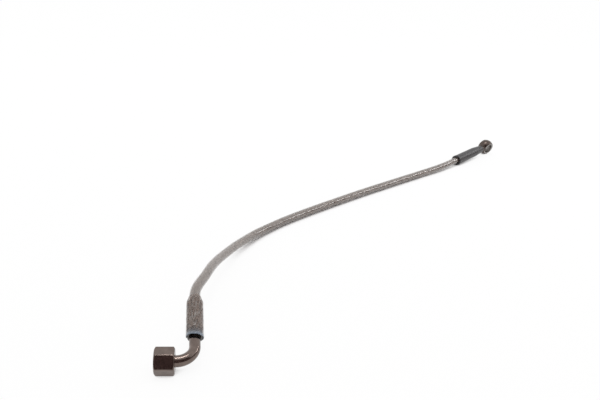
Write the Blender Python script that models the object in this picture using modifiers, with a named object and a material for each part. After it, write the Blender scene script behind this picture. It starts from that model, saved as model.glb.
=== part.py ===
"""Oil cooler line: a braided hose with a swivel nut and elbow at one end and a banjo eye at the other.

Metres, +Z up. The line lies on the plane z = 0, resting on the nut's flat, the middle of the hose
and the banjo eye. The nut's axis runs along X, and its open end faces -X.
"""
import math

import bmesh
import bpy
import numpy as np
from mathutils import Matrix, Vector

COLLECTION = "oil_cooler_line"
GAP = 0.0003

# Swivel nut, M14 x 1.5
NUT_ACROSS_FLATS = 0.017
NUT_LENGTH = 0.014
NUT_THREAD_RADIUS = 0.0062
NUT_TUBE_CLEARANCE = 0.00035
NUT_END_CHAMFER = 0.0011
NUT_CHAMFER_ANGLE = math.radians(30.0)
NUT_MOUTH_CHAMFER = 0.0009
NUT_FACE_X = -0.2187
NUT_AXIS_Y = -0.258

# Cone nipple with its O-ring, brazed on the tube's end
NIPPLE_RECESS = 0.0043
NIPPLE_NOSE_RADIUS = 0.0041
NIPPLE_CONE_ANGLE = math.radians(12.0)
NIPPLE_CONE_LENGTH = 0.0046
NIPPLE_SHOULDER_RADIUS = 0.0059
NIPPLE_SHOULDER_LENGTH = 0.001
NIPPLE_BACK_CHAMFER = 0.001
NIPPLE_SOCKET_DEPTH = 0.0027
RING_SECTION_RADIUS = 0.00065
RING_GROOVE_START = 0.0014
RING_GROOVE_FLOOR_RADIUS = 0.00345

# Elbow tube
TUBE_RADIUS = 0.004
TUBE_WALL = 0.00125
TUBE_LEAD = 0.0004
TUBE_BEND_RADIUS = 0.0125
TUBE_BEND_ANGLE = math.radians(92.0)
ELBOW_LIFT_ANGLE = math.radians(12.0)
TUBE_BEND_STEPS = 14

# Hose: liner, braid and clear cover, each with its own wall
HOSE_RADIUS = 0.00425
COVER_WALL = 0.0004
BRAID_WALL = 0.0003
LINER_WALL = 0.0007
HOSE_POINT_SPACING = 0.018

# Barbed hose tail and crimped ferrule, alike at both ends of the hose
COLLAR_LENGTH = 0.006
TAIL_SOCKET_DEPTH = 0.0045
FERRULE_LIP = 0.0012
TAIL_GROOVE_RADIUS = 0.003
TAIL_BORE_RADIUS = 0.0014
BARB_RADIUS = 0.0021
BARB_ROOT_RADIUS = 0.00185
BARB_PITCH = 0.004
BARB_STEP = 0.0004
BARB_CREST = 0.0008
BARB_COUNT = 6
FERRULE_WALL = 0.00095
FERRULE_LENGTH = 0.0287
CRIMP_FLATS = 8
CRIMP_DEPTH = 0.00022
CRIMP_END_MARGIN = 0.0035

# Heat-shrink sleeves
SLEEVE_WALL = 0.0005
SLEEVE_NECK_LENGTH = 0.005
SLEEVE_SHOULDER_LENGTH = 0.0013
SLEEVE_TAPER_LENGTH = 0.003
NEAR_TAIL_OFFSET = 0.009
NEAR_LIP_OFFSET = 0.0045
NEAR_LIP_FLARE = 0.0004
NEAR_LIP_FLARE_LENGTH = 0.007
NEAR_LIP_SLANT = math.radians(33.0)
NEAR_LIP_BEARING = math.radians(12.0)
FAR_SLEEVE_START = 0.015
FAR_SLEEVE_OVERHANG = 0.0005
FREE_HOSE_LEAD = 0.0025

# Banjo eye for an M12 bolt
EYE_RADIUS = 0.0101
EYE_THICKNESS = 0.012
EYE_BORE_RADIUS = 0.0061
EYE_BORE_CHAMFER = 0.0004
EYE_ROLL = math.radians(17.0)
EYE_TILT = math.radians(12.0)
EYE_CENTRE_X = 0.2091
EYE_CENTRE_Y = 0.2571
STEM_ROOT_WALL = 0.0004
STEM_NECK_RADIUS = 0.0042
STEM_NECK_END = 0.017
STEM_CONE_END = 0.034
FAR_TAIL_OFFSET = 0.043
STEM_BEARING = math.radians(221.8)
STEM_DROP_ANGLE = math.radians(2.4)

# Chosen points of the free hose between its two sleeves, from the elbow to the banjo eye
HOSE_ROUTE = [
    (-0.1876, -0.1665, 0.0226),
    (-0.1827, -0.146, 0.0206),
    (-0.1762, -0.122, 0.0168),
    (-0.1678, -0.0985, 0.0128),
    (-0.1584, -0.076, 0.0094),
    (-0.148, -0.056, 0.0068),
    (-0.137, -0.0385, 0.0052),
    (-0.125, -0.024, 0.0045),
    (-0.1125, -0.0105, 0.0043),
    (-0.0995, 0.002, 0.0043),
    (-0.072, 0.0265, 0.0043),
    (-0.043, 0.051, 0.0043),
    (-0.0115, 0.077, 0.0043),
    (0.022, 0.1035, 0.0043),
    (0.0575, 0.131, 0.0043),
    (0.0945, 0.159, 0.0046),
    (0.1135, 0.173, 0.0052),
]

# Facets of turned and swept surfaces
TURNED_STEPS = 36
TAIL_STEPS = 20
RING_SIDES = 8
TUBE_SIDES = 20
HOSE_SIDES = 12
SPLINE_SAMPLES = 16
EYE_ARC_STEPS = 10
CUTTER_MARGIN = 0.002
MERGE_DISTANCE = 0.00001

# Colour, metallic value and roughness of each finish
BRONZED_STEEL = ((0.085, 0.062, 0.055), 0.9, 0.30)
PLAIN_STEEL = ((0.42, 0.41, 0.40), 1.0, 0.38)
BRAID_STEEL = ((0.45, 0.42, 0.40), 1.0, 0.35)
CLEAR_COVER = ((0.34, 0.30, 0.27), 0.1, 0.25)
LINER_PLASTIC = ((0.03, 0.028, 0.026), 0.0, 0.50)
CLEAR_SHRINK = ((0.30, 0.28, 0.27), 0.1, 0.30)
BLACK_SHRINK = ((0.035, 0.033, 0.035), 0.0, 0.55)
RING_RUBBER = ((0.02, 0.02, 0.02), 0.0, 0.60)


def clear_scene():
    for obj in list(bpy.data.objects):
        bpy.data.objects.remove(obj)


def new_collection(name):
    collection = bpy.data.collections.new(name)
    bpy.context.scene.collection.children.link(collection)
    return collection


def finish_material(name, finish):
    colour, metallic, roughness = finish
    material = bpy.data.materials.new(name)
    material.use_nodes = True
    shader = material.node_tree.nodes["Principled BSDF"]
    shader.inputs["Base Color"].default_value = (*colour, 1.0)
    shader.inputs["Metallic"].default_value = metallic
    shader.inputs["Roughness"].default_value = roughness
    return material


def place(obj, parent, location=(0.0, 0.0, 0.0), rotation=(0.0, 0.0, 0.0)):
    obj.parent = parent
    obj.location = location
    obj.rotation_euler = rotation


def as_piece(obj, finish):
    parts.objects.link(obj)
    obj.data.materials.append(finish_material(obj.name, finish))
    return obj


def as_cutter(obj):
    cutters.objects.link(obj)
    obj.hide_render = True
    obj.display_type = "WIRE"
    return obj


def frame_empty(name, origin, z_axis):
    """An empty at origin whose local +Z runs along z_axis; fittings are stacked along it."""
    empty = bpy.data.objects.new(name, None)
    parts.objects.link(empty)
    empty.empty_display_size = EYE_RADIUS
    empty.location = origin
    empty.rotation_mode = "QUATERNION"
    empty.rotation_quaternion = z_axis.to_track_quat("Z", "Y")
    return empty


def turned(name, profile, closed=True, steps=TURNED_STEPS):
    """A turned object about local Z. The profile of (radius, height) runs down its outer side."""
    mesh = bpy.data.meshes.new(name)
    count = len(profile)
    edges = [(i, (i + 1) % count) for i in range(count if closed else count - 1)]
    mesh.from_pydata([(radius, 0.0, height) for radius, height in profile], edges, [])
    obj = bpy.data.objects.new(name, mesh)
    screw = obj.modifiers.new("turn", "SCREW")
    screw.axis = "Z"
    screw.steps = steps
    screw.render_steps = steps
    screw.use_merge_vertices = True
    screw.merge_threshold = MERGE_DISTANCE
    screw.use_smooth_shade = True
    return obj


def box(name, size, location):
    """A box cutter's mesh, with its sides along the local axes."""
    mesh = bpy.data.meshes.new(name)
    shape = bmesh.new()
    bmesh.ops.create_cube(shape, size=1.0)
    bmesh.ops.scale(shape, vec=size, verts=shape.verts)
    bmesh.ops.translate(shape, vec=location, verts=shape.verts)
    shape.to_mesh(mesh)
    shape.free()
    return bpy.data.objects.new(name, mesh)


def combine(target, other, operation):
    boolean = target.modifiers.new(other.name, "BOOLEAN")
    boolean.operation = operation
    boolean.object = other
    boolean.solver = "EXACT"


def tube_along(name, points, radius, wall, sides):
    """A hollow tube swept along a poly line, with its wall inside the given outer radius."""
    curve = bpy.data.curves.new(name, "CURVE")
    curve.dimensions = "3D"
    curve.bevel_depth = radius
    curve.bevel_resolution = sides // 2 - 2
    spline = curve.splines.new("POLY")
    spline.points.add(len(points) - 1)
    for point, position in zip(spline.points, points):
        point.co = (*position, 1.0)
    spline.use_smooth = True
    obj = bpy.data.objects.new(name, curve)
    shell = obj.modifiers.new("wall", "SOLIDIFY")
    shell.thickness = wall
    shell.offset = -1.0
    shell.use_even_offset = True
    return obj


def smooth_path(points, start_direction, end_direction, spacing):
    """Evenly spaced points on the C2 spline through the points with the given end directions."""
    points = np.array(points)
    spans = np.linalg.norm(np.diff(points, axis=0), axis=1)
    last = len(points) - 1
    system = np.eye(last + 1)
    slopes = np.zeros_like(points)
    slopes[0] = start_direction
    slopes[last] = end_direction
    for i in range(1, last):
        before = spans[i - 1]
        after = spans[i]
        system[i, i - 1:i + 2] = (after, 2.0 * (before + after), before)
        rise = after / before * (points[i] - points[i - 1]) + before / after * (points[i + 1] - points[i])
        slopes[i] = 3.0 * rise
    tangents = np.linalg.solve(system, slopes)
    fine = []
    for i in range(last):
        for t in np.linspace(0.0, 1.0, SPLINE_SAMPLES, endpoint=False):
            fine.append(
                (2 * t**3 - 3 * t**2 + 1) * points[i]
                + (t**3 - 2 * t**2 + t) * spans[i] * tangents[i]
                + (3 * t**2 - 2 * t**3) * points[i + 1]
                + (t**3 - t**2) * spans[i] * tangents[i + 1]
            )
    fine.append(points[last])
    fine = np.array(fine)
    run = np.concatenate(([0.0], np.cumsum(np.linalg.norm(np.diff(fine, axis=0), axis=1))))
    stations = np.linspace(0.0, run[-1], round(run[-1] / spacing) + 1)
    return np.column_stack([np.interp(stations, run, fine[:, axis]) for axis in range(3)])


# Layout worked out from the driving dimensions
NUT_CORNER_RADIUS = NUT_ACROSS_FLATS / math.sqrt(3.0)
NUT_FACE = Vector((NUT_FACE_X, NUT_AXIS_Y, NUT_ACROSS_FLATS / 2.0))
BEND_START = NUT_FACE + Vector((NUT_LENGTH + TUBE_LEAD, 0.0, 0.0))
BEND_SIDE = Vector((0.0, math.cos(ELBOW_LIFT_ANGLE), math.sin(ELBOW_LIFT_ANGLE)))
ELBOW_END = (
    BEND_START
    + Vector((TUBE_BEND_RADIUS * math.sin(TUBE_BEND_ANGLE), 0.0, 0.0))
    + BEND_SIDE * TUBE_BEND_RADIUS * (1.0 - math.cos(TUBE_BEND_ANGLE))
)
ELBOW_DIRECTION = Vector((math.cos(TUBE_BEND_ANGLE), 0.0, 0.0)) + BEND_SIDE * math.sin(TUBE_BEND_ANGLE)
EYE_CENTRE = Vector((EYE_CENTRE_X, EYE_CENTRE_Y, EYE_RADIUS))
STEM_DIRECTION = Vector((
    math.cos(STEM_BEARING) * math.cos(STEM_DROP_ANGLE),
    math.sin(STEM_BEARING) * math.cos(STEM_DROP_ANGLE),
    -math.sin(STEM_DROP_ANGLE),
))
FERRULE_RADIUS = HOSE_RADIUS + GAP + FERRULE_WALL
NIPPLE_LENGTH = NIPPLE_CONE_LENGTH + NIPPLE_SHOULDER_LENGTH + NIPPLE_BACK_CHAMFER
FERRULE_START = COLLAR_LENGTH + GAP
FERRULE_END = FERRULE_START + FERRULE_LENGTH
STEM_START = FERRULE_START + FERRULE_LIP + GAP
HOSE_START = STEM_START + GAP
SLEEVE_RADIUS = FERRULE_RADIUS + GAP + SLEEVE_WALL
HOSE_SLEEVE_RADIUS = HOSE_RADIUS + GAP + SLEEVE_WALL
STEM_ROOT_BORE_GAP = EYE_BORE_RADIUS + STEM_ROOT_WALL + STEM_NECK_RADIUS * math.sin(EYE_TILT)
STEM_ROOT = STEM_ROOT_BORE_GAP / math.cos(EYE_TILT)
NEAR_SLEEVE_END = NEAR_TAIL_OFFSET + FERRULE_END + SLEEVE_NECK_LENGTH
FAR_SLEEVE_END = FAR_TAIL_OFFSET + FERRULE_END + FAR_SLEEVE_OVERHANG


def swivel_nut():
    """Hexagonal nut, turned blank with its bore and end chamfers, kept where the hexagon is."""
    blank_radius = NUT_CORNER_RADIUS + GAP
    end_radius = blank_radius - NUT_END_CHAMFER / math.tan(NUT_CHAMFER_ANGLE)
    hole_radius = TUBE_RADIUS + NUT_TUBE_CLEARANCE
    shoulder = NIPPLE_RECESS + NIPPLE_CONE_LENGTH + NIPPLE_SHOULDER_LENGTH
    seat = shoulder + GAP * math.sqrt(2.0) - (NUT_THREAD_RADIUS - NIPPLE_SHOULDER_RADIUS)
    nut = turned("swivel_nut", [
        (end_radius, NUT_LENGTH),
        (blank_radius, NUT_LENGTH - NUT_END_CHAMFER),
        (blank_radius, NUT_END_CHAMFER),
        (end_radius, 0.0),
        (NUT_THREAD_RADIUS + NUT_MOUTH_CHAMFER, 0.0),
        (NUT_THREAD_RADIUS, NUT_MOUTH_CHAMFER),
        (NUT_THREAD_RADIUS, seat),
        (hole_radius, seat + NUT_THREAD_RADIUS - hole_radius),
        (hole_radius, NUT_LENGTH),
    ])
    bpy.ops.mesh.primitive_cylinder_add(
        vertices=6,
        radius=NUT_CORNER_RADIUS,
        depth=NUT_LENGTH + 2.0 * CUTTER_MARGIN,
    )
    hexagon = bpy.context.object
    hexagon.name = "nut_hexagon"
    for collection in list(hexagon.users_collection):
        collection.objects.unlink(hexagon)
    as_cutter(hexagon)
    combine(nut, hexagon, "INTERSECT")
    as_piece(nut, BRONZED_STEEL)
    along_x = (0.0, math.pi / 2.0, 0.0)
    place(nut, None, NUT_FACE, along_x)
    place(hexagon, nut, (0.0, 0.0, NUT_LENGTH / 2.0))


def cone_nipple():
    cone_radius = NIPPLE_NOSE_RADIUS + NIPPLE_CONE_LENGTH * math.tan(NIPPLE_CONE_ANGLE)
    groove_width = 2.0 * (RING_SECTION_RADIUS + GAP)
    groove_end = RING_GROOVE_START + groove_width
    shoulder_end = NIPPLE_CONE_LENGTH + NIPPLE_SHOULDER_LENGTH
    bore_radius = TUBE_RADIUS - TUBE_WALL
    socket_radius = TUBE_RADIUS + GAP

    def cone_at(height):
        return NIPPLE_NOSE_RADIUS + height * math.tan(NIPPLE_CONE_ANGLE)

    nipple = turned("cone_nipple", [
        (NIPPLE_SHOULDER_RADIUS - NIPPLE_BACK_CHAMFER, NIPPLE_LENGTH),
        (NIPPLE_SHOULDER_RADIUS, shoulder_end),
        (NIPPLE_SHOULDER_RADIUS, NIPPLE_CONE_LENGTH),
        (cone_radius, NIPPLE_CONE_LENGTH),
        (cone_at(groove_end), groove_end),
        (RING_GROOVE_FLOOR_RADIUS, groove_end),
        (RING_GROOVE_FLOOR_RADIUS, RING_GROOVE_START),
        (cone_at(RING_GROOVE_START), RING_GROOVE_START),
        (NIPPLE_NOSE_RADIUS, 0.0),
        (bore_radius, 0.0),
        (bore_radius, NIPPLE_LENGTH - NIPPLE_SOCKET_DEPTH),
        (socket_radius, NIPPLE_LENGTH - NIPPLE_SOCKET_DEPTH),
        (socket_radius, NIPPLE_LENGTH),
    ])
    as_piece(nipple, PLAIN_STEEL)
    along_x = (0.0, math.pi / 2.0, 0.0)
    place(nipple, None, NUT_FACE + Vector((NIPPLE_RECESS, 0.0, 0.0)), along_x)

    bpy.ops.mesh.primitive_torus_add(
        major_radius=RING_GROOVE_FLOOR_RADIUS + GAP + RING_SECTION_RADIUS,
        minor_radius=RING_SECTION_RADIUS,
        major_segments=TURNED_STEPS,
        minor_segments=RING_SIDES,
    )
    ring = bpy.context.object
    ring.name = "cone_o_ring"
    for collection in list(ring.users_collection):
        collection.objects.unlink(ring)
    as_piece(ring, RING_RUBBER)
    place(ring, nipple, (0.0, 0.0, RING_GROOVE_START + groove_width / 2.0))


def elbow_tube():
    """Bent tube from the nipple's socket to the tail's socket."""
    start = NUT_FACE.x + NIPPLE_RECESS + NIPPLE_LENGTH - NIPPLE_SOCKET_DEPTH + GAP
    points = [Vector((start, NUT_FACE.y, NUT_FACE.z)) - BEND_START]
    for step in range(TUBE_BEND_STEPS + 1):
        angle = TUBE_BEND_ANGLE * step / TUBE_BEND_STEPS
        along = Vector((TUBE_BEND_RADIUS * math.sin(angle), 0.0, 0.0))
        points.append(along + BEND_SIDE * TUBE_BEND_RADIUS * (1.0 - math.cos(angle)))
    tail_socket_end = NEAR_TAIL_OFFSET + TAIL_SOCKET_DEPTH - GAP
    points.append(points[-1] + ELBOW_DIRECTION * tail_socket_end)
    tube = tube_along("elbow_tube", points, TUBE_RADIUS, TUBE_WALL, TUBE_SIDES)
    as_piece(tube, BRONZED_STEEL)
    place(tube, None, BEND_START)


def hose_tail(name, parent, offset):
    """Collar with a socket for the tube, groove for the ferrule's lip, and a barbed stem."""
    stem_end = STEM_START + BARB_PITCH * BARB_COUNT
    profile = []
    for barb in reversed(range(BARB_COUNT)):
        foot = STEM_START + BARB_PITCH * barb
        profile.append((BARB_ROOT_RADIUS, foot + BARB_PITCH))
        profile.append((BARB_RADIUS, foot + BARB_CREST))
        profile.append((BARB_ROOT_RADIUS, foot + BARB_STEP))
    profile += [
        (BARB_ROOT_RADIUS, STEM_START),
        (TAIL_GROOVE_RADIUS, STEM_START),
        (TAIL_GROOVE_RADIUS, COLLAR_LENGTH),
        (FERRULE_RADIUS, COLLAR_LENGTH),
        (FERRULE_RADIUS, 0.0),
        (TUBE_RADIUS + GAP, 0.0),
        (TUBE_RADIUS + GAP, TAIL_SOCKET_DEPTH),
        (TAIL_BORE_RADIUS, TAIL_SOCKET_DEPTH),
        (TAIL_BORE_RADIUS, stem_end),
    ]
    tail = turned(name, profile, steps=TAIL_STEPS)
    as_piece(tail, PLAIN_STEEL)
    place(tail, parent, (0.0, 0.0, offset))


def ferrule(name, parent, offset):
    """Crimped shell round the hose, its lip in the tail's groove and its middle pressed to flats."""
    grip_radius = HOSE_RADIUS + GAP
    mouth_round = FERRULE_WALL - CRIMP_DEPTH
    shell = turned(name, [
        (FERRULE_RADIUS - mouth_round / 2.0, FERRULE_END),
        (FERRULE_RADIUS, FERRULE_END - mouth_round),
        (FERRULE_RADIUS, FERRULE_START),
        (TAIL_GROOVE_RADIUS + GAP, FERRULE_START),
        (TAIL_GROOVE_RADIUS + GAP, FERRULE_START + FERRULE_LIP),
        (grip_radius, FERRULE_START + FERRULE_LIP),
        (grip_radius, FERRULE_END),
    ])
    flat_length = FERRULE_LENGTH - 2.0 * CRIMP_END_MARGIN
    flat_middle = FERRULE_START + FERRULE_LENGTH / 2.0
    flat_distance = FERRULE_RADIUS - CRIMP_DEPTH
    for index in range(CRIMP_FLATS):
        cutter = box(
            f"{name}_crimp_{index}",
            (2.0 * CUTTER_MARGIN, 2.0 * FERRULE_RADIUS, flat_length),
            (flat_distance + CUTTER_MARGIN, 0.0, flat_middle),
        )
        as_cutter(cutter)
        place(cutter, shell, rotation=(0.0, 0.0, 2.0 * math.pi * index / CRIMP_FLATS))
        combine(shell, cutter, "DIFFERENCE")
    as_piece(shell, PLAIN_STEEL)
    place(shell, parent, (0.0, 0.0, offset))


def elbow_sleeve(parent):
    """Heat-shrink sleeve that necks down to the hose, its lower lip flared and longest on its upper side."""
    flare_radius = SLEEVE_RADIUS + NEAR_LIP_FLARE
    ferrule_end = NEAR_TAIL_OFFSET + FERRULE_END
    outer = [
        (HOSE_SLEEVE_RADIUS, NEAR_SLEEVE_END),
        (HOSE_SLEEVE_RADIUS + SLEEVE_WALL / 2.0, ferrule_end + SLEEVE_TAPER_LENGTH),
        (SLEEVE_RADIUS - SLEEVE_WALL / 2.0, ferrule_end + SLEEVE_SHOULDER_LENGTH),
        (SLEEVE_RADIUS, ferrule_end),
        (SLEEVE_RADIUS, NEAR_LIP_OFFSET + NEAR_LIP_FLARE_LENGTH),
        (flare_radius, NEAR_LIP_OFFSET - CUTTER_MARGIN),
    ]
    inner = [(radius - SLEEVE_WALL, height) for radius, height in reversed(outer)]
    sleeve = turned("elbow_shrink_sleeve", outer + inner)
    side = 4.0 * SLEEVE_RADIUS
    slant = box("sleeve_lip_cut", (side, side, side), (0.0, 0.0, -side / 2.0))
    as_cutter(slant)
    middle = NEAR_LIP_OFFSET + flare_radius * math.tan(NEAR_LIP_SLANT)
    place(slant, sleeve, (0.0, 0.0, middle), (-NEAR_LIP_SLANT, 0.0, NEAR_LIP_BEARING))
    combine(sleeve, slant, "DIFFERENCE")
    as_piece(sleeve, CLEAR_SHRINK)
    place(sleeve, parent)


def banjo_sleeve(parent):
    """Heat-shrink sleeve over the far ferrule that narrows along the eye's stem."""
    neck_radius = STEM_NECK_RADIUS + GAP + SLEEVE_WALL
    outer = [
        (SLEEVE_RADIUS, FAR_SLEEVE_END),
        (SLEEVE_RADIUS, STEM_CONE_END),
        (neck_radius, STEM_NECK_END),
        (neck_radius, FAR_SLEEVE_START),
    ]
    inner = [(radius - SLEEVE_WALL, height) for radius, height in reversed(outer)]
    sleeve = turned("banjo_shrink_sleeve", outer + inner)
    as_piece(sleeve, BLACK_SHRINK)
    place(sleeve, parent)


def banjo_eye(parent):
    """Truncated sphere with a bore, joined to a slanting turned stem with an oil passage."""
    half = EYE_THICKNESS / 2.0
    limit = math.asin(half / EYE_RADIUS)
    sphere = []
    for step in range(EYE_ARC_STEPS + 1):
        angle = limit - 2.0 * limit * step / EYE_ARC_STEPS
        sphere.append((EYE_RADIUS * math.cos(angle), EYE_RADIUS * math.sin(angle)))
    eye = turned("banjo_eye", sphere + [
        (EYE_BORE_RADIUS + EYE_BORE_CHAMFER, -half),
        (EYE_BORE_RADIUS, EYE_BORE_CHAMFER - half),
        (EYE_BORE_RADIUS, half - EYE_BORE_CHAMFER),
        (EYE_BORE_RADIUS + EYE_BORE_CHAMFER, half),
    ])
    spigot_end = FAR_TAIL_OFFSET + TAIL_SOCKET_DEPTH - GAP
    stem = turned("eye_stem", [
        (0.0, spigot_end),
        (TUBE_RADIUS, spigot_end),
        (TUBE_RADIUS, FAR_TAIL_OFFSET - GAP),
        (FERRULE_RADIUS, FAR_TAIL_OFFSET - GAP),
        (FERRULE_RADIUS, STEM_CONE_END),
        (STEM_NECK_RADIUS, STEM_NECK_END),
        (STEM_NECK_RADIUS, STEM_ROOT),
        (0.0, STEM_ROOT),
    ], closed=False, steps=TAIL_STEPS)
    passage_start = EYE_BORE_RADIUS / 2.0
    passage_end = spigot_end + CUTTER_MARGIN
    passage = turned("eye_passage", [
        (0.0, passage_end),
        (TAIL_BORE_RADIUS, passage_end),
        (TAIL_BORE_RADIUS, passage_start),
        (0.0, passage_start),
    ], closed=False, steps=TAIL_STEPS)
    combine(eye, as_cutter(stem), "UNION")
    combine(eye, as_cutter(passage), "DIFFERENCE")
    as_piece(eye, BRONZED_STEEL)
    # The bore's axis points to the right of the stem, is rolled down about it, and leans towards it.
    square = Vector((-STEM_DIRECTION.y, STEM_DIRECTION.x, 0.0)).normalized()
    rolled = Matrix.Rotation(-EYE_ROLL, 3, STEM_DIRECTION) @ square
    bore_axis = rolled * math.cos(EYE_TILT) + STEM_DIRECTION * math.sin(EYE_TILT)
    across = bore_axis.cross(STEM_DIRECTION).normalized()
    turn = Matrix((across.cross(bore_axis), across, bore_axis)).transposed()
    eye.rotation_mode = "QUATERNION"
    eye.location = EYE_CENTRE
    eye.rotation_quaternion = turn.to_quaternion()
    place(stem, parent)
    place(passage, parent)


def hose_layers():
    """Liner, braid and cover on one path: straight in both ferrules and free between them."""
    near_start = ELBOW_END + ELBOW_DIRECTION * (NEAR_TAIL_OFFSET + HOSE_START)
    near_free = ELBOW_END + ELBOW_DIRECTION * (NEAR_SLEEVE_END + FREE_HOSE_LEAD)
    far_free = EYE_CENTRE + STEM_DIRECTION * (FAR_SLEEVE_END + FREE_HOSE_LEAD)
    far_end = EYE_CENTRE + STEM_DIRECTION * (FAR_TAIL_OFFSET + HOSE_START)
    free = smooth_path(
        [near_free, *HOSE_ROUTE, far_free],
        ELBOW_DIRECTION,
        -STEM_DIRECTION,
        HOSE_POINT_SPACING,
    )
    path = [near_start, near_start.lerp(near_free, 0.5)]
    path += [Vector(point) for point in free]
    path += [far_free.lerp(far_end, 0.5), far_end]
    braid_radius = HOSE_RADIUS - COVER_WALL - GAP
    liner_radius = braid_radius - BRAID_WALL - GAP
    cover = tube_along("hose_cover", path, HOSE_RADIUS, COVER_WALL, HOSE_SIDES)
    braid = tube_along("hose_braid", path, braid_radius, BRAID_WALL, HOSE_SIDES)
    liner = tube_along("hose_liner", path, liner_radius, LINER_WALL, HOSE_SIDES)
    as_piece(cover, CLEAR_COVER)
    as_piece(braid, BRAID_STEEL)
    as_piece(liner, LINER_PLASTIC)


clear_scene()
parts = new_collection(COLLECTION)
cutters = new_collection("cutters")

swivel_nut()
cone_nipple()
elbow_tube()

elbow_fitting = frame_empty("elbow_fitting", ELBOW_END, ELBOW_DIRECTION)
hose_tail("elbow_hose_tail", elbow_fitting, NEAR_TAIL_OFFSET)
ferrule("elbow_ferrule", elbow_fitting, NEAR_TAIL_OFFSET)
elbow_sleeve(elbow_fitting)

banjo_fitting = frame_empty("banjo_fitting", EYE_CENTRE, STEM_DIRECTION)
hose_tail("banjo_hose_tail", banjo_fitting, FAR_TAIL_OFFSET)
ferrule("banjo_ferrule", banjo_fitting, FAR_TAIL_OFFSET)
banjo_sleeve(banjo_fitting)
banjo_eye(banjo_fitting)

hose_layers()
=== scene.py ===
"""Looks of the oil cooler line: a braided hose with a swivel nut and elbow, and a banjo eye.

Metres, +Z up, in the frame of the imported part. Each piece is a mesh worked out from the sizes in the
property groups, which repeat those of the part's source.
"""

import math
from types import SimpleNamespace

import bpy
import numpy as np
from bpy.props import FloatProperty, FloatVectorProperty, PointerProperty
from mathutils import Matrix, Vector


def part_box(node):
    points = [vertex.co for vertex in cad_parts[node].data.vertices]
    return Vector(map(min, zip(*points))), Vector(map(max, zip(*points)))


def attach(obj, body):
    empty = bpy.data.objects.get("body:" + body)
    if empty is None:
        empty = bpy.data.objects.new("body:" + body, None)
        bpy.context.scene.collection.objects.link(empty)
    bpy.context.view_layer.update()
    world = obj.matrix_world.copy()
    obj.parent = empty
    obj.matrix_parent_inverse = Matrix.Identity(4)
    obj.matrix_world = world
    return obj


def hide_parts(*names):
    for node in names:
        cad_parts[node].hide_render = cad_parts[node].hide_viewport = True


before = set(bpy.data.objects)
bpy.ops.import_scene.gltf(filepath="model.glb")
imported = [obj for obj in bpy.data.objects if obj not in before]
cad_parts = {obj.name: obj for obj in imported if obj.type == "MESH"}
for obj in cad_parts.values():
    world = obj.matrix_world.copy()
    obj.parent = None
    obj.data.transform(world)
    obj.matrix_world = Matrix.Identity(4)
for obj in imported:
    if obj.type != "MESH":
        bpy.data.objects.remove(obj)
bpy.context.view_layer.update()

bl_info = {
    "name": "Oil Cooler Line",
    "version": (1, 0, 0),
    "blender": (4, 5, 0),
    "location": "View3D > Sidebar > Oil Line",
    "description": "Builds the hose, fittings and finishes of an oil cooler line",
    "category": "Add Mesh",
}

NUT_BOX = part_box("swivel_nut")
NUT_MIDDLE = (Vector(NUT_BOX[0]) + Vector(NUT_BOX[1])) / 2.0
NUT_FACE = Vector((NUT_BOX[0][0], NUT_MIDDLE.y, NUT_MIDDLE.z))
NUT_AXIS = Vector((1.0, 0.0, 0.0))
UP = Vector((0.0, 0.0, 1.0))
EYE_CENTRE_X = 0.2091
EYE_CENTRE_Y = 0.2571

# Listed points of the free hose between its two sleeves, from the elbow to the banjo eye
HOSE_ROUTE = [
    (-0.1876, -0.1665, 0.0226),
    (-0.1827, -0.146, 0.0206),
    (-0.1762, -0.122, 0.0168),
    (-0.1678, -0.0985, 0.0128),
    (-0.1584, -0.076, 0.0094),
    (-0.148, -0.056, 0.0068),
    (-0.137, -0.0385, 0.0052),
    (-0.125, -0.024, 0.0045),
    (-0.1125, -0.0105, 0.0043),
    (-0.0995, 0.002, 0.0043),
    (-0.072, 0.0265, 0.0043),
    (-0.043, 0.051, 0.0043),
    (-0.0115, 0.077, 0.0043),
    (0.022, 0.1035, 0.0043),
    (0.0575, 0.131, 0.0043),
    (0.0945, 0.159, 0.0046),
    (0.1135, 0.173, 0.0052),
]

# Hose and its woven braid
FREE_HOSE_LEAD = 0.0025
HOSE_STEP = 0.0016
LINER_BORE_SHARE = 0.78
WIRES_PER_STRAND = 6
STRANDS_EACH_WAY = 12
STRAND_LEAD = 0.0158
STRAND_FILL = 0.90
STRAND_CROWN = 0.00006
STRAND_SWING = 0.30
BRAID_STEP = 0.00045

# Nut and its thread
NUT_CHAMFER = 0.0011
NUT_SOFT_EDGE = 0.00012
NUT_MOUTH_BEVEL = 0.0009
NUT_HOLE_CLEARANCE = 0.00035
NUT_HOLE_BEVEL = 0.0004
THREAD_RELIEF = 0.0015
THREAD_ROWS_PER_TURN = 14

# Cone nipple and its ring
NIPPLE_RECESS = 0.0043
NIPPLE_NOSE_RADIUS = 0.0041
NIPPLE_CONE_ANGLE = math.radians(12.0)
NIPPLE_CONE_LENGTH = 0.0046
NIPPLE_SHOULDER_RADIUS = 0.0059
NIPPLE_SHOULDER_LENGTH = 0.001
NIPPLE_BACK_CHAMFER = 0.001
NIPPLE_SOCKET_DEPTH = 0.0027
RING_SECTION_RADIUS = 0.00065
RING_GROOVE_START = 0.0014
RING_GROOVE_FLOOR_RADIUS = 0.00345

# Elbow tube, and edges of turned pieces
TUBE_FLATTENING = 0.035
FACE_EDGE = 0.0003
TURNED_EDGE = 0.00012
TAIL_EDGE = 0.00025

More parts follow.
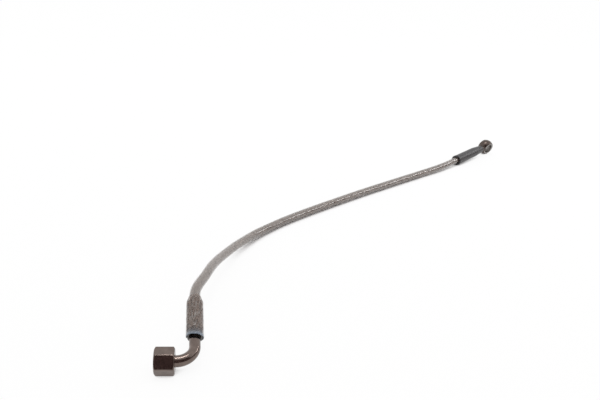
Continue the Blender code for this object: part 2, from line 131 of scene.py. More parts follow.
# Hose tails and crimped ferrules
TAIL_GROOVE_RADIUS = 0.003
TAIL_BORE_RADIUS = 0.0014
TAIL_SOCKET_DEPTH = 0.0045
BARB_RADIUS = 0.0021
BARB_ROOT_RADIUS = 0.00185
BARB_PITCH = 0.004
BARB_STEP = 0.0004
BARB_CREST = 0.0008
BARB_COUNT = 6
FERRULE_LIP = 0.0012
FERRULE_MOUTH_ROLL = 0.0005
FERRULE_MOUTH_REACH = 0.0006
CRIMP_FLATS = 8
CRIMP_DEPTH = 0.00022
CRIMP_END_MARGIN = 0.0035
CRIMP_FADE = 0.0012

# Clear sleeve and its oblique lip
SLEEVE_NECK_LENGTH = 0.005
SHOULDER_START = 0.0013
SHOULDER_END = 0.003
SHOULDER_DROP = 0.00025
CLEAR_BLUR = (0.0002, 0.0006)
LIP_PULLED_BACK = 0.5
LIP_FLARE = 0.0004
LIP_FLARE_REACH = 0.0024
LIP_ROLL = 0.0003
LIP_ROLL_REACH = 0.0007
LIP_WAVE = 0.00012
LIP_NICK = 0.0024
LIP_NICK_BEARING = math.radians(-44.0)
LIP_NICK_WIDTH = math.radians(25.0)
LIP_TINT_REACH = 0.0034
# Inner wall of the clear sleeve's mouth: a painted shade rises over the first reach from the lip, and the
# blue tint and the shade fade out past the second.
MOUTH_SHADE_ONSET = 0.0018
INNER_MOUTH_REACH = 0.006
CRIMPS_SHOWING = 0.00009
CRIMPS_SHOW_FROM = 0.010
CRIMPS_SHOW_TO = 0.0045
CRIMPS_SHOW_FADE = 0.002
CLEAR_RIPPLE = 0.00005

# Black sleeve
FAR_SLEEVE_START = 0.015
FAR_SLEEVE_OVERLAP = 0.004
BLACK_BLUR = (0.0006, 0.0016)
BLACK_RIM = 0.00035
BLACK_RIM_REACH = 0.0007
BLACK_GROOVE = 0.0001
BLACK_GROOVE_REACH = 0.0008
BLACK_CLOSING_REACH = 0.00022
BLACK_RIPPLE = 0.00004

# Banjo eye, its stem and its oil passage
EYE_CHAMFER = 0.0004
EYE_RIM_EDGE = 0.00006
STEM_NECK_RADIUS = 0.0042
STEM_NECK_END = 0.017
STEM_CONE_END = 0.034
STEM_ROOT = 0.0088
STEM_FILLET = 0.0012
NEAR_AXIS = 0.00001
CUT_OVERRUN = 0.002

# Inputs of the shared group of blotches and grain, with their defaults
MOTTLE_INPUTS = {
    "Colour": (0.5, 0.5, 0.5, 1.0),
    "Worn Colour": (0.6, 0.6, 0.6, 1.0),
    "Blotch Scale": 200.0,
    "Grain Scale": 2500.0,
    "Wear": 0.3,
    "Smooth": 0.2,
    "Rough": 0.4,
}

# Camera and stage
CAMERA_PLACE = Vector((-0.1745, -0.608, 0.258))
CAMERA_PITCH = math.radians(20.9)
IMAGE_WIDTH = 600.0
FOCAL_PIXELS = 620.0
OPTICAL_AXIS_PIXEL = 220.0
SENSOR_WIDTH = 36.0
FLOOR_REACH = 14.0
FLOOR_WHITE_SHARE = 0.92
GLOSS_WHITE_SHARE = 0.85
CONTACT_REACH = 0.03
CONTACT_DARK = 0.40
CONTACT_CLEAR = 0.80
SHADOW_MIDDLE_Y = 0.05
SHADOW_DARK_REACH = 0.09
SHADOW_LIGHT_REACH = 0.20
SHADOW_END_LIFT = 0.40
FLAG_COLOUR = (0.17, 0.125, 0.125)
FRONT_FLAG_Y = -1.3
FRONT_FLAG_HALF_WIDTH = 1.9
FRONT_FLAG_HEIGHT = 1.9
RIGHT_FLAG_X = 1.5
RIGHT_FLAG_END_Y = 0.7
RIGHT_FLAG_HEIGHT = 0.5


def length(name, description, default):
    return FloatProperty(name=name, description=description, default=default, unit="LENGTH", precision=5)


def angle(name, description, degrees):
    return FloatProperty(name=name, description=description, default=math.radians(degrees), subtype="ANGLE")


def colour(name, description, default):
    return FloatVectorProperty(
        name=name, description=description, default=default, size=3, min=0.0, max=1.0, subtype="COLOR"
    )


class OilLineSizes(bpy.types.PropertyGroup):
    """Sizes of the line's pieces."""
    gap: length("Gap", "Clearance between touching pieces", 0.0003)
    nut_across_flats: length("Nut across flats", "Width of the swivel nut over two flats", 0.017)
    nut_length: length("Nut length", "Length of the swivel nut", 0.014)
    nut_edge: length("Nut edge radius", "Rounding of the nut's six long edges", 0.0011)
    thread_radius: length("Thread crest radius", "Radius inside the crests of the nut's thread", 0.0062)
    thread_depth: length("Thread depth", "Depth of the nut's thread", 0.0008)
    thread_pitch: length("Thread pitch", "Pitch of the nut's thread", 0.0015)
    tube_radius: length("Tube radius", "Outer radius of the elbow tube", 0.004)
    tube_wall: length("Tube wall", "Wall of the elbow tube", 0.00125)
    tube_lead: length("Tube lead", "Straight tube between the nut and the bend", 0.0004)
    bend_radius: length("Bend radius", "Centre line radius of the elbow", 0.0125)
    bend_angle: angle("Bend angle", "Turn of the elbow", 92.0)
    elbow_lift: angle("Elbow lift", "Rise of the elbow's hose end above the table", 12.0)
    hose_radius: length("Hose radius", "Outer radius of the clear cover", 0.00425)
    cover_wall: length("Cover wall", "Wall of the clear cover", 0.0004)
    braid_wall: length("Braid wall", "Thickness of the wire braid", 0.0003)
    ferrule_wall: length("Ferrule wall", "Wall of the crimped ferrules", 0.00095)
    ferrule_length: length("Ferrule length", "Length of the crimped ferrules", 0.0287)
    collar_length: length("Collar length", "Length of the hose tail's collar", 0.006)
    sleeve_wall: length("Sleeve wall", "Wall of the heat-shrink sleeves", 0.0005)
    near_tail_offset: length("Elbow tail offset", "From the bend's end to the hose tail", 0.009)
    near_lip_offset: length("Elbow sleeve offset", "From the bend's end to the sleeve's lip", 0.0045)
    near_lip_slant: angle("Lip slant", "Slant of the elbow sleeve's cut", 33.0)
    near_lip_bearing: angle("Lip bearing", "Turn of the longest side of the lip from straight up", 12.0)
    eye_radius: length("Eye radius", "Radius of the banjo eye's ball", 0.0101)
    eye_thickness: length("Eye thickness", "Distance between the banjo eye's faces", 0.012)
    eye_bore_radius: length("Eye bore radius", "Radius of the banjo eye's bore", 0.0061)
    eye_roll: angle("Eye roll", "Turn of the banjo eye about its stem", 17.0)
    eye_tilt: angle("Eye tilt", "Lean of the banjo eye's bore towards its stem", 12.0)
    stem_bearing: angle("Stem bearing", "Heading of the banjo eye's stem", 221.8)
    stem_drop: angle("Stem drop", "Fall of the banjo eye's stem towards the hose", 2.4)
    far_tail_offset: length("Banjo tail offset", "From the eye's centre to the hose tail", 0.043)


class OilLineColours(bpy.types.PropertyGroup):
    """Colours of the line's finishes."""
    bronze: colour("Bronzed steel", "Dark plated steel of the nut, tube and eye", (0.150, 0.118, 0.104))
    steel: colour("Plain steel", "Bright steel of the inner pieces", (0.42, 0.40, 0.385))
    wire: colour("Braid wire", "Stainless wire of the braid", (0.60, 0.52, 0.475))
    cover: colour("Clear cover", "Tint of the hose's clear cover", (0.27, 0.22, 0.190))
    clear_shrink: colour("Clear shrink", "Tint of the clear heat-shrink sleeve", (0.175, 0.137, 0.118))
    shrink_lip: colour("Shrink lip", "Tint of the clear sleeve's cut lip", (0.17, 0.212, 0.262))
    # Painted shade: dark colour for the clear sleeve's inner wall deep in its mouth, where it lies in shade.
    mouth_shade_colour: colour("Sleeve lining", "Dark lining inside the clear sleeve's mouth", (0.012, 0.017, 0.038))
    black_shrink: colour("Black shrink", "Black heat-shrink sleeve", (0.030, 0.028, 0.030))
    liner: colour("Liner", "Inner tube of the hose", (0.030, 0.027, 0.025))
    rubber: colour("Rubber", "Sealing ring", (0.015, 0.015, 0.015))
    floor: colour("Floor", "Table under the line", (0.97, 0.97, 0.97))


def layout(sizes):
    """Places and radii that follow from the driving sizes."""
    place = SimpleNamespace()
    bend_start = NUT_FACE + Vector((sizes.nut_length + sizes.tube_lead, 0.0, 0.0))
    bend_side = Vector((0.0, math.cos(sizes.elbow_lift), math.sin(sizes.elbow_lift)))
    turn = sizes.bend_angle
    place.bend_start = bend_start
    place.bend_side = bend_side
    place.elbow_end = (
        bend_start
        + Vector((sizes.bend_radius * math.sin(turn), 0.0, 0.0))
        + bend_side * sizes.bend_radius * (1.0 - math.cos(turn))
    )
    place.elbow_direction = Vector((math.cos(turn), 0.0, 0.0)) + bend_side * math.sin(turn)
    place.eye_centre = Vector((EYE_CENTRE_X, EYE_CENTRE_Y, sizes.eye_radius))
    place.stem_direction = Vector((
        math.cos(sizes.stem_bearing) * math.cos(sizes.stem_drop),
        math.sin(sizes.stem_bearing) * math.cos(sizes.stem_drop),
        -math.sin(sizes.stem_drop),
    ))
    place.ferrule_radius = sizes.hose_radius + sizes.gap + sizes.ferrule_wall
    place.ferrule_start = sizes.collar_length + sizes.gap
    place.ferrule_end = place.ferrule_start + sizes.ferrule_length
    place.stem_start = place.ferrule_start + FERRULE_LIP + sizes.gap
    place.hose_start = place.stem_start + sizes.gap
    place.sleeve_radius = place.ferrule_radius + sizes.gap + sizes.sleeve_wall
    place.hose_sleeve_radius = sizes.hose_radius + sizes.gap + sizes.sleeve_wall
    place.near_sleeve_end = sizes.near_tail_offset + place.ferrule_end + SLEEVE_NECK_LENGTH
    place.far_sleeve_end = sizes.far_tail_offset + place.ferrule_end + sizes.gap
    return place


def settings(context):
    """The sizes, the colours and the layout that follows from the sizes."""
    sizes = context.scene.oil_line_sizes
    return sizes, context.scene.oil_line_colours, layout(sizes)


def numbers(vector):
    return np.array(vector, dtype=float)


def full_turn(steps):
    return np.linspace(0.0, 2.0 * math.pi, steps, endpoint=False)


def linked(name, data):
    """A new object of the scene with the given data."""
    obj = bpy.data.objects.new(name, data)
    bpy.context.scene.collection.objects.link(obj)
    return obj


def loft(name, rows, sharp=35.0):
    """A closed mesh over a grid of points. Rows run up the outer side and back, columns anticlockwise."""
    count, around = rows.shape[:2]
    row = np.arange(count)[:, None]
    column = np.arange(around)[None, :]
    next_row = (row + 1) % count
    next_column = (column + 1) % around
    corners = (
        row * around + column,
        row * around + next_column,
        next_row * around + next_column,
        next_row * around + column,
    )
    faces = np.stack(np.broadcast_arrays(*corners), axis=-1).reshape(-1, 4)
    mesh = bpy.data.meshes.new(name)
    mesh.from_pydata(rows.reshape(-1, 3).tolist(), [], faces.tolist())
    mesh.update()
    mesh.shade_smooth()
    mesh.set_sharp_from_angle(angle=math.radians(sharp))
    return linked(name, mesh)


def point_value(obj, name, values):
    """Stores one number at each vertex, for a material to read."""
    attribute = obj.data.attributes.new(name, "FLOAT", "POINT")
    attribute.data.foreach_set("value", np.asarray(values, dtype=np.float32).ravel())


def eased(profile, radius, steps=3):
    """The closed profile with each corner rounded, as (radius, height) points."""
    profile = numbers(profile)
    points = []
    for index, corner in enumerate(profile):
        before = profile[index - 1] - corner
        after = profile[(index + 1) % len(profile)] - corner
        reach_before = min(radius, 0.4 * np.linalg.norm(before))
        reach_after = min(radius, 0.4 * np.linalg.norm(after))
        start = corner + before / np.linalg.norm(before) * reach_before
        end = corner + after / np.linalg.norm(after) * reach_after
        for t in np.linspace(0.0, 1.0, steps + 1):
            points.append((1 - t) ** 2 * start + 2 * t * (1 - t) * corner + t**2 * end)
    return np.array(points)


def ring_points(radii, angles, heights):
    """Points about local Z, one for each radius, angle and height."""
    radii, angles, heights = np.broadcast_arrays(radii, angles, heights)
    return np.stack([radii * np.cos(angles), radii * np.sin(angles), heights], axis=-1)


def turned(profile, steps=96):
    """Rows of points for a profile of (radius, height) turned about local Z."""
    return ring_points(profile[:, :1], full_turn(steps), profile[:, 1:])


def fitting_frame(origin, z_axis):
    """A matrix with local Z along z_axis and local Y as near to straight up as it goes."""
    z_axis = z_axis.normalized()
    x_axis = UP.cross(z_axis).normalized()
    y_axis = z_axis.cross(x_axis)
    return Matrix.Translation(origin) @ Matrix((x_axis, y_axis, z_axis)).transposed().to_4x4()


def placed(rows, matrix, offset=0.0):
    """The rows moved along local Z by the offset and carried into place by the matrix."""
    rows = rows + numbers((0.0, 0.0, offset))
    turn = numbers(matrix.to_3x3())
    return rows @ turn.T + numbers(matrix.translation)


def weighted_normals(obj):
    normals = obj.modifiers.new("normals", "WEIGHTED_NORMAL")
    normals.keep_sharp = True
    return obj


def smooth_path(points, start_direction, end_direction, spacing, samples=40):
    """Evenly spaced points on the C2 spline through the points with the given end directions."""
    points = numbers(points)
    spans = np.linalg.norm(np.diff(points, axis=0), axis=1)
    last = len(points) - 1
    system = np.eye(last + 1)
    slopes = np.zeros_like(points)
    slopes[0] = start_direction
    slopes[last] = end_direction
    for i in range(1, last):
        before = spans[i - 1]
        after = spans[i]
        system[i, i - 1:i + 2] = (after, 2.0 * (before + after), before)
        rise = after / before * (points[i] - points[i - 1])
        slopes[i] = 3.0 * (rise + before / after * (points[i + 1] - points[i]))
    tangents = np.linalg.solve(system, slopes)
    t = np.linspace(0.0, 1.0, samples, endpoint=False)[:, None]
    fine = [
        (2 * t**3 - 3 * t**2 + 1) * points[i]
        + (t**3 - 2 * t**2 + t) * spans[i] * tangents[i]
        + (3 * t**2 - 2 * t**3) * points[i + 1]
        + (t**3 - t**2) * spans[i] * tangents[i + 1]
        for i in range(last)
    ]
    return evenly(np.concatenate([*fine, points[last:]]), spacing)


def evenly(points, spacing):
    """The route again, as points about one spacing apart."""
    run = np.concatenate(([0.0], np.cumsum(np.linalg.norm(np.diff(points, axis=0), axis=1))))
    stations = np.linspace(0.0, run[-1], round(run[-1] / spacing) + 1)
    return np.column_stack([np.interp(stations, run, points[:, axis]) for axis in range(3)])


def hose_path(sizes, spacing):
    """The hose's centre line, straight inside both ferrules and free between the sleeves."""
    place = layout(sizes)
    near = place.elbow_end + place.elbow_direction * (sizes.near_tail_offset + place.hose_start)
    near_free = place.elbow_end + place.elbow_direction * (place.near_sleeve_end + FREE_HOSE_LEAD)
    far_free = place.eye_centre + place.stem_direction * (place.far_sleeve_end + FREE_HOSE_LEAD)
    far = place.eye_centre + place.stem_direction * (sizes.far_tail_offset + place.hose_start)
    route = [near_free, *HOSE_ROUTE, far_free]
    free = smooth_path(route, place.elbow_direction, -place.stem_direction, spacing)
    return evenly(np.concatenate([[numbers(near)], free, [numbers(far)]]), spacing)


def carried_frames(path):
    """Side and top vectors at each point of the path, carried along it without twist."""
    tangents = np.gradient(path, axis=0)
    tangents /= np.linalg.norm(tangents, axis=1)[:, None]
    sides = np.zeros_like(path)
    side = np.cross(numbers(UP), tangents[0])
    for i, tangent in enumerate(tangents):
        side = side - tangent * np.dot(side, tangent)
        side /= np.linalg.norm(side)
        sides[i] = side
    return sides, np.cross(tangents, sides)


def around_path(path, sides, tops, angles, radii):
    """Points round the path. Angles and radii have a row for each point of the path."""
    across = np.cos(angles)[..., None] * sides[:, None, :] + np.sin(angles)[..., None] * tops[:, None, :]
    return path[:, None, :] + radii[..., None] * across


def tube_rows(path, outer, inner, steps):
    """Rows for a tube with a wall: out along the outer side and back along the inner one."""
    sides, tops = carried_frames(path)
    angles = np.tile(full_turn(steps), (len(path), 1))
    skin = around_path(path, sides, tops, angles, np.broadcast_to(outer, angles.shape))
    bore = around_path(path, sides, tops, angles, np.broadcast_to(inner, angles.shape))
    return np.concatenate([skin, bore[::-1]])


def dress(obj, material, slot, body, *nodes):
    """Gives a piece its material and body, and hides the nodes that it stands for. The slot is not used."""
    obj.data.materials.clear()
    obj.data.materials.append(material)
    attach(obj, body)
    if nodes:
        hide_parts(*nodes)
    return obj


def lighter(rgb, factor):
    """The colour times the factor, which may also be under one."""
    return tuple(min(1.0, channel * factor) for channel in rgb)


def rgba(rgb, factor=1.0):
    """The colour for a socket, times the factor."""
    return (*lighter(rgb, factor), 1.0)


def feed(tree, node, inputs):
    """Links each named input to the socket given for it, or sets it to the value given."""
    for name, value in inputs.items():
        if isinstance(value, bpy.types.NodeSocket):
            tree.links.new(value, node.inputs[name])
        else:
            node.inputs[name].default_value = value


def add_node(tree, kind, inputs=None, **options):
    """A new shader node with its options set and its inputs fed."""
    node = tree.nodes.new("ShaderNode" + kind)
    for name, value in options.items():
        setattr(node, name, value)
    feed(tree, node, inputs or {})
    return node


def worked_out(tree, operation, *values):
    """The outcome of a math node."""
    return add_node(tree, "Math", dict(enumerate(values)), operation=operation).outputs["Value"]


def ranged(tree, value, from_min=0.0, from_max=1.0, to_min=0.0, to_max=1.0):
    """The value carried from one range over to another."""
    limits = {"From Min": from_min, "From Max": from_max, "To Min": to_min, "To Max": to_max}
    return add_node(tree, "MapRange", {"Value": value, **limits}).outputs["Result"]


def mixed(tree, factor, first, second):
    """The first colour where the factor is zero, the second where it is one."""
    inputs = {"Factor": factor, "A": first, "B": second}
    return add_node(tree, "Mix", inputs, data_type="RGBA").outputs["Result"]


def noise(tree, place, scale, detail):
    return add_node(tree, "TexNoise", {"Vector": place, "Scale": scale, "Detail": detail}).outputs["Fac"]


def marked(tree, name):
    """The number stored under the name at the piece's vertices."""
    return add_node(tree, "Attribute", attribute_name=name).outputs["Fac"]


def mottle_group():
    """Blotches and fine grain: two colours mixed, a roughness that varies, and a height."""
    group = bpy.data.node_groups.get("mottle_and_grain")
    if group:
        return group
    group = bpy.data.node_groups.new("mottle_and_grain", "ShaderNodeTree")
    for name, default in MOTTLE_INPUTS.items():
        kind = "NodeSocketFloat" if isinstance(default, float) else "NodeSocketColor"
        group.interface.new_socket(name, in_out="INPUT", socket_type=kind).default_value = default
    for name, kind in (("Colour", "Color"), ("Roughness", "Float"), ("Height", "Float")):
        group.interface.new_socket(name, in_out="OUTPUT", socket_type="NodeSocket" + kind)
    given = group.nodes.new("NodeGroupInput").outputs
    where = add_node(group, "TexCoord").outputs["Object"]
    blotch = noise(group, where, given["Blotch Scale"], detail=4.0)
    grain = noise(group, where, given["Grain Scale"], detail=2.0)
    blotchy = ranged(group, blotch, from_min=0.38, from_max=0.72)
    worn = worked_out(group, "MULTIPLY", blotchy, given["Wear"])
    feed(group, group.nodes.new("NodeGroupOutput"), {
        "Colour": mixed(group, worn, given["Colour"], given["Worn Colour"]),
        "Roughness": ranged(group, grain, to_min=given["Smooth"], to_max=given["Rough"]),
        "Height": grain,
    })
    return group


def mottle(tree, base, worn, **values):
    """Outputs of the shared group over a base colour, with the worn places lighter by a factor."""
    inputs = {"Colour": rgba(base), "Worn Colour": rgba(base, worn)}
    for name, value in values.items():
        inputs[name.replace("_", " ").title()] = value
    return add_node(tree, "Group", inputs, node_tree=mottle_group()).outputs


def new_material(name):
    material = bpy.data.materials.new(name)
    material.use_nodes = True
    return material, material.node_tree, material.node_tree.nodes["Principled BSDF"]


def mottled(name, base, worn, metallic=0.0, bump=0.02, blotch_scale=200.0, grain_scale=2500.0, wear=0.5,
            smooth=0.25, rough=0.4):
    """A finish with blotches and grain from the shared group."""
    material, tree, shader = new_material(name)
    look = mottle(tree, base, worn, blotch_scale=blotch_scale, grain_scale=grain_scale, wear=wear,
                  smooth=smooth, rough=rough)
    relief = add_node(tree, "Bump", {"Strength": bump, "Distance": 0.0002, "Height": look["Height"]})
    feed(tree, shader, {
        "Base Color": look["Colour"],
        "Metallic": metallic,
        "Roughness": look["Roughness"],
        "Normal": relief.outputs["Normal"],
    })
    return material


def bronzed_steel(name, colours, share=1.0, smooth=0.09, rough=0.24):
    """Dark plated steel. The share makes it darker."""
    return mottled(name, lighter(colours.bronze, share), 1.5, metallic=1.0, bump=0.04, blotch_scale=260.0,
                   grain_scale=3000.0, wear=0.6, smooth=smooth, rough=rough)


def plain_steel(name, colours, share=1.0):
    """Bare bright steel. The share makes it darker."""
    return mottled(name, lighter(colours.steel, share), 1.35, metallic=1.0, bump=0.05, blotch_scale=320.0,
                   grain_scale=4000.0, smooth=0.22, rough=0.42)


def machined_where_marked(material, colours):
    """Bare machined steel where the piece's machined value is one."""
    tree = material.node_tree
    shader = tree.nodes["Principled BSDF"]
    plated = shader.inputs["Base Color"].links[0].from_socket
    feed(tree, shader, {
        "Base Color": mixed(tree, marked(tree, "machined"), plated, rgba(colours.steel, 0.8)),
    })
    return material


def braid_wire(colours):
    """Stainless wires: fine grooves across each strand, with a painted shade that makes the colour darker
    between the wires.
    """
    material, tree, shader = new_material("braid_wire")
    strand = add_node(tree, "UVMap", uv_map="strand").outputs["UV"]
    across = add_node(tree, "SeparateXYZ", {"Vector": strand}).outputs["X"]
    turn = worked_out(tree, "MULTIPLY", across, 2.0 * math.pi * WIRES_PER_STRAND)
    wire_crown_and_groove_shade = ranged(tree, worked_out(tree, "COSINE", turn), from_min=1.0, from_max=-0.4)
    relief = add_node(tree, "Bump", {"Strength": 0.8, "Distance": 0.00008, "Height": wire_crown_and_groove_shade})
    feed(tree, shader, {
        # The same wave gives the wires' relief and a painted shade: the colour darkens in the grooves between
        # the wires.
        "Base Color": mixed(tree, wire_crown_and_groove_shade, rgba(colours.wire, 0.22), rgba(colours.wire)),
        "Metallic": 1.0,
        "Roughness": 0.20,
        "Coat Weight": 1.0,
        "Coat Roughness": 0.20,
        "Normal": relief.outputs["Normal"],
    })
    return material


def clear_film(name, tint, facing, grazing, finish):
    """A clear plastic film: more of it shows where the surface turns away."""
    material, tree, shader = new_material(name)
    edge = add_node(tree, "LayerWeight", {"Blend": 0.35}).outputs["Facing"]
    amount = ranged(tree, edge, to_min=facing, to_max=grazing)
    feed(tree, shader, {"Base Color": rgba(tint), "Alpha": amount, **finish})
    return material


def clear_cover(colours):
    """The hose's smooth outer cover."""
    return clear_film("clear_cover", colours.cover, 0.30, 0.45, {
        "Roughness": 0.15,
        "Specular IOR Level": 0.9,
        "Coat Weight": 1.0,
        "Coat IOR": 2.0,
        "Coat Roughness": 0.15,
    })


def clear_shrink(colours):
    """Clear shrink plastic, bluish at its cut lip, with a painted shade on the inner wall deep inside its
    mouth.
    """
    finish = {"Roughness": 0.3, "Specular IOR Level": 0.25, "Coat Roughness": 0.06}
    material = clear_film("clear_shrink", colours.clear_shrink, 0.64, 0.95, finish)
    tree = material.node_tree
    shader = tree.nodes["Principled BSDF"]
    lip = marked(tree, "lip_tint")
    plain = mottle(tree, colours.clear_shrink, 1.7, blotch_scale=420.0, wear=0.8)["Colour"]
    blue = mixed(tree, lip, plain, rgba(colours.shrink_lip))
    # Streaks along the sleeve: uneven film, and painted highlights too, since where the film thins the
    # ferrule's bright steel shows through in broken lengthwise lines.
    where = add_node(tree, "TexCoord").outputs["Object"]
    along = add_node(tree, "Mapping", {"Vector": where, "Scale": (700.0, 110.0, 700.0)}).outputs["Vector"]
    streaks = noise(tree, along, scale=1.0, detail=3.0)
    film_and_highlight_streaks = ranged(tree, streaks, from_min=0.40, from_max=0.62, to_min=0.30)
    film = worked_out(tree, "MULTIPLY", shader.inputs["Alpha"].links[0].from_socket, film_and_highlight_streaks)
    feed(tree, shader, {
        # Painted shade: deeper inside the mouth, the inner wall takes the dark shade colour.
        "Base Color": mixed(tree, marked(tree, "mouth_shade_mask"), blue, rgba(colours.mouth_shade_colour)),
        "Coat Weight": lip,
        "Alpha": worked_out(tree, "MAXIMUM", film, lip),
    })
    return material


def braid_mesh(sizes, name="hose_braid_strands"):
    """Two sets of flat strands that wind round the hose and pass over and under in pairs."""
    path = hose_path(sizes, BRAID_STEP)
    sides, tops = carried_frames(path)
    run = np.linspace(0.0, 1.0, len(path)) * np.linalg.norm(np.diff(path, axis=0), axis=1).sum()
    outer = sizes.hose_radius - sizes.cover_wall - sizes.gap
    middle = outer - sizes.braid_wall / 2.0
    swing = sizes.braid_wall * STRAND_SWING
    across = np.linspace(-1.0, 1.0, 4)
    half_width = STRAND_FILL * math.pi / STRANDS_EACH_WAY
    vertices = []
    uvs = []
    faces = []
    count = len(path)
    for way in (1.0, -1.0):
        for strand in range(STRANDS_EACH_WAY):
            centre = way * 2.0 * math.pi * run / STRAND_LEAD + 2.0 * math.pi * strand / STRANDS_EACH_WAY
            angles = centre[:, None] + across[None, :] * half_width
            rise = way * swing * np.cos(STRANDS_EACH_WAY / 2.0 * angles - math.pi / 4.0)
            radii = middle + rise + STRAND_CROWN * (1.0 - across[None, :] ** 2)
            start = len(vertices) * count * len(across)
            vertices.append(around_path(path, sides, tops, angles, radii).reshape(-1, 3))
            v = np.repeat(run[:, None], len(across), axis=1)
            u = np.repeat((across[None, :] + 1.0) / 2.0, count, axis=0)
            uvs.append(np.stack([u, v], axis=-1).reshape(-1, 2))
            row = np.arange(count - 1)[:, None] * len(across)
            column = np.arange(len(across) - 1)[None, :]
            corner = start + row + column
            quads = np.stack([corner, corner + 1, corner + 1 + len(across), corner + len(across)], axis=-1)
            faces.append(quads.reshape(-1, 4))
    vertices = np.concatenate(vertices)
    uvs = np.concatenate(uvs)
    mesh = bpy.data.meshes.new(name)
    mesh.from_pydata(vertices.tolist(), [], np.concatenate(faces).tolist())
    mesh.update()
    mesh.shade_smooth()
    loops = np.empty(len(mesh.loops), dtype=np.int32)
    mesh.loops.foreach_get("vertex_index", loops)
    layer = mesh.uv_layers.new(name="strand")
    layer.data.foreach_set("uv", uvs[loops].astype(np.float32).ravel())
    return linked(name, mesh)


class OILLINE_OT_hose(bpy.types.Operator):
    """Build the hose: inner tube, woven wire braid and clear cover"""
    bl_idname = "oil_line.hose"
    bl_label = "Hose"

    def execute(self, context):
        sizes, colours, place = settings(context)
        path = hose_path(sizes, HOSE_STEP)
        inner = sizes.hose_radius - sizes.cover_wall
        cover = loft("hose_cover_clear", tube_rows(path, sizes.hose_radius, inner, 40))
        dress(cover, clear_cover(colours), "clear_cover", "line", "hose_cover")
        braid = braid_mesh(sizes)
        dress(braid, braid_wire(colours), "braid_steel", "line", "hose_braid")
        liner_radius = inner - sizes.gap - sizes.braid_wall - sizes.gap
        liner_rows = tube_rows(path[::3], liner_radius, liner_radius * LINER_BORE_SHARE, 24)
        liner = loft("hose_liner_tube", liner_rows)
        liner_finish = mottled("liner_plastic", colours.liner, 1.6, smooth=0.4, rough=0.6)
        dress(liner, liner_finish, "liner_plastic", "line", "hose_liner")
        return {"FINISHED"}


def corner_centre(across_flats, edge):
    """Distance from the hexagon's centre to that of a corner's rounding."""
    return (across_flats / 2.0 - edge) / math.cos(math.pi / 6.0)


def hexagon_radius(angles, across_flats, edge):
    """Radius of a hexagon with rounded corners, flats at the top and the bottom."""
    off_flat = np.mod(angles, math.pi / 3.0) - math.pi / 6.0
    flat = across_flats / 2.0 / np.cos(off_flat)
    off_corner = math.pi / 6.0 - np.abs(off_flat)
    centre = corner_centre(across_flats, edge)
    inside = np.maximum(edge**2 - (centre * np.sin(off_corner)) ** 2, 0.0)
    corner = centre * np.cos(off_corner) + np.sqrt(inside)
    return np.where(off_corner < corner_angle(across_flats, edge), corner, flat)


def corner_angle(across_flats, edge):
    """Half the angle that a rounded corner of the hexagon takes up, seen from the centre."""
    reach = corner_centre(across_flats, edge) + edge * math.cos(math.pi / 6.0)
    return math.atan2(edge / 2.0, reach)


def hexagon_angles(sizes):
    """Angles round the nut, closer together on its rounded corners."""
    edge = math.degrees(corner_angle(sizes.nut_across_flats, sizes.nut_edge))
    rounded = np.linspace(0.0, edge, 6)
    flat = np.linspace(edge - 30.0, 30.0 - edge, 13)[1:-1]
    sector = np.concatenate([rounded - 30.0, flat, 30.0 - rounded[:0:-1]])
    return np.radians([30.0 + 60.0 * side + offset for side in range(6) for offset in sector])


def nut_outside(sizes, angles):
    """Rings of the front face, the chamfered hexagon and the rear face, as (radius, height)."""
    whole = sizes.nut_length
    hexagon = hexagon_radius(angles, sizes.nut_across_flats, sizes.nut_edge)
    corner = sizes.nut_across_flats / math.sqrt(3.0) + sizes.gap
    end_radius = corner - NUT_CHAMFER / math.tan(math.radians(30.0))
    ends = np.concatenate([np.linspace(0.00003, 0.0013, 13), [0.0016, 0.0024]])
    heights = np.concatenate([ends, np.linspace(0.0035, whole - 0.0035, 5), whole - ends[::-1]])
    rings = [(sizes.thread_radius + NUT_MOUTH_BEVEL + 0.00008, 0.0), (end_radius - FACE_EDGE, 0.0)]
    for height in heights:
        cone = end_radius + math.tan(math.radians(60.0)) * min(height, whole - height)
        blend = -NUT_SOFT_EDGE * np.logaddexp(-hexagon / NUT_SOFT_EDGE, -cone / NUT_SOFT_EDGE)
        rings.append((blend, height))
    return [*rings, (end_radius - FACE_EDGE, whole)]


def nut_bore(sizes, angles):
    """Rings of the rear hole, the 45 degree seat and the helical thread, back to the mouth."""
    hole = sizes.tube_radius + NUT_HOLE_CLEARANCE
    mouth = sizes.thread_radius + NUT_MOUTH_BEVEL
    root = sizes.thread_radius + sizes.thread_depth
    shoulder = NIPPLE_RECESS + NIPPLE_CONE_LENGTH + NIPPLE_SHOULDER_LENGTH
    seat = shoulder + sizes.gap * math.sqrt(2.0) - (sizes.thread_radius - NIPPLE_SHOULDER_RADIUS)
    rings = [
        (hole + NUT_HOLE_BEVEL, sizes.nut_length),
        (hole, sizes.nut_length - NUT_HOLE_BEVEL),
        (hole, seat + sizes.thread_radius - hole),
        (sizes.thread_radius, seat),
        (root, seat - FACE_EDGE),
        (root, seat - THREAD_RELIEF),
    ]
    step = sizes.thread_pitch / THREAD_ROWS_PER_TURN
    for height in np.arange(seat - THREAD_RELIEF - step, 0.00002, -step):
        phase = np.mod(height / sizes.thread_pitch + angles / (2.0 * math.pi), 1.0)
        flank = np.clip((np.abs(2.0 * phase - 1.0) - 0.25) / 0.62, 0.0, 1.0)
        radius = sizes.thread_radius + sizes.thread_depth * flank
        rings.append((np.maximum(radius, mouth - height), height))
    return rings


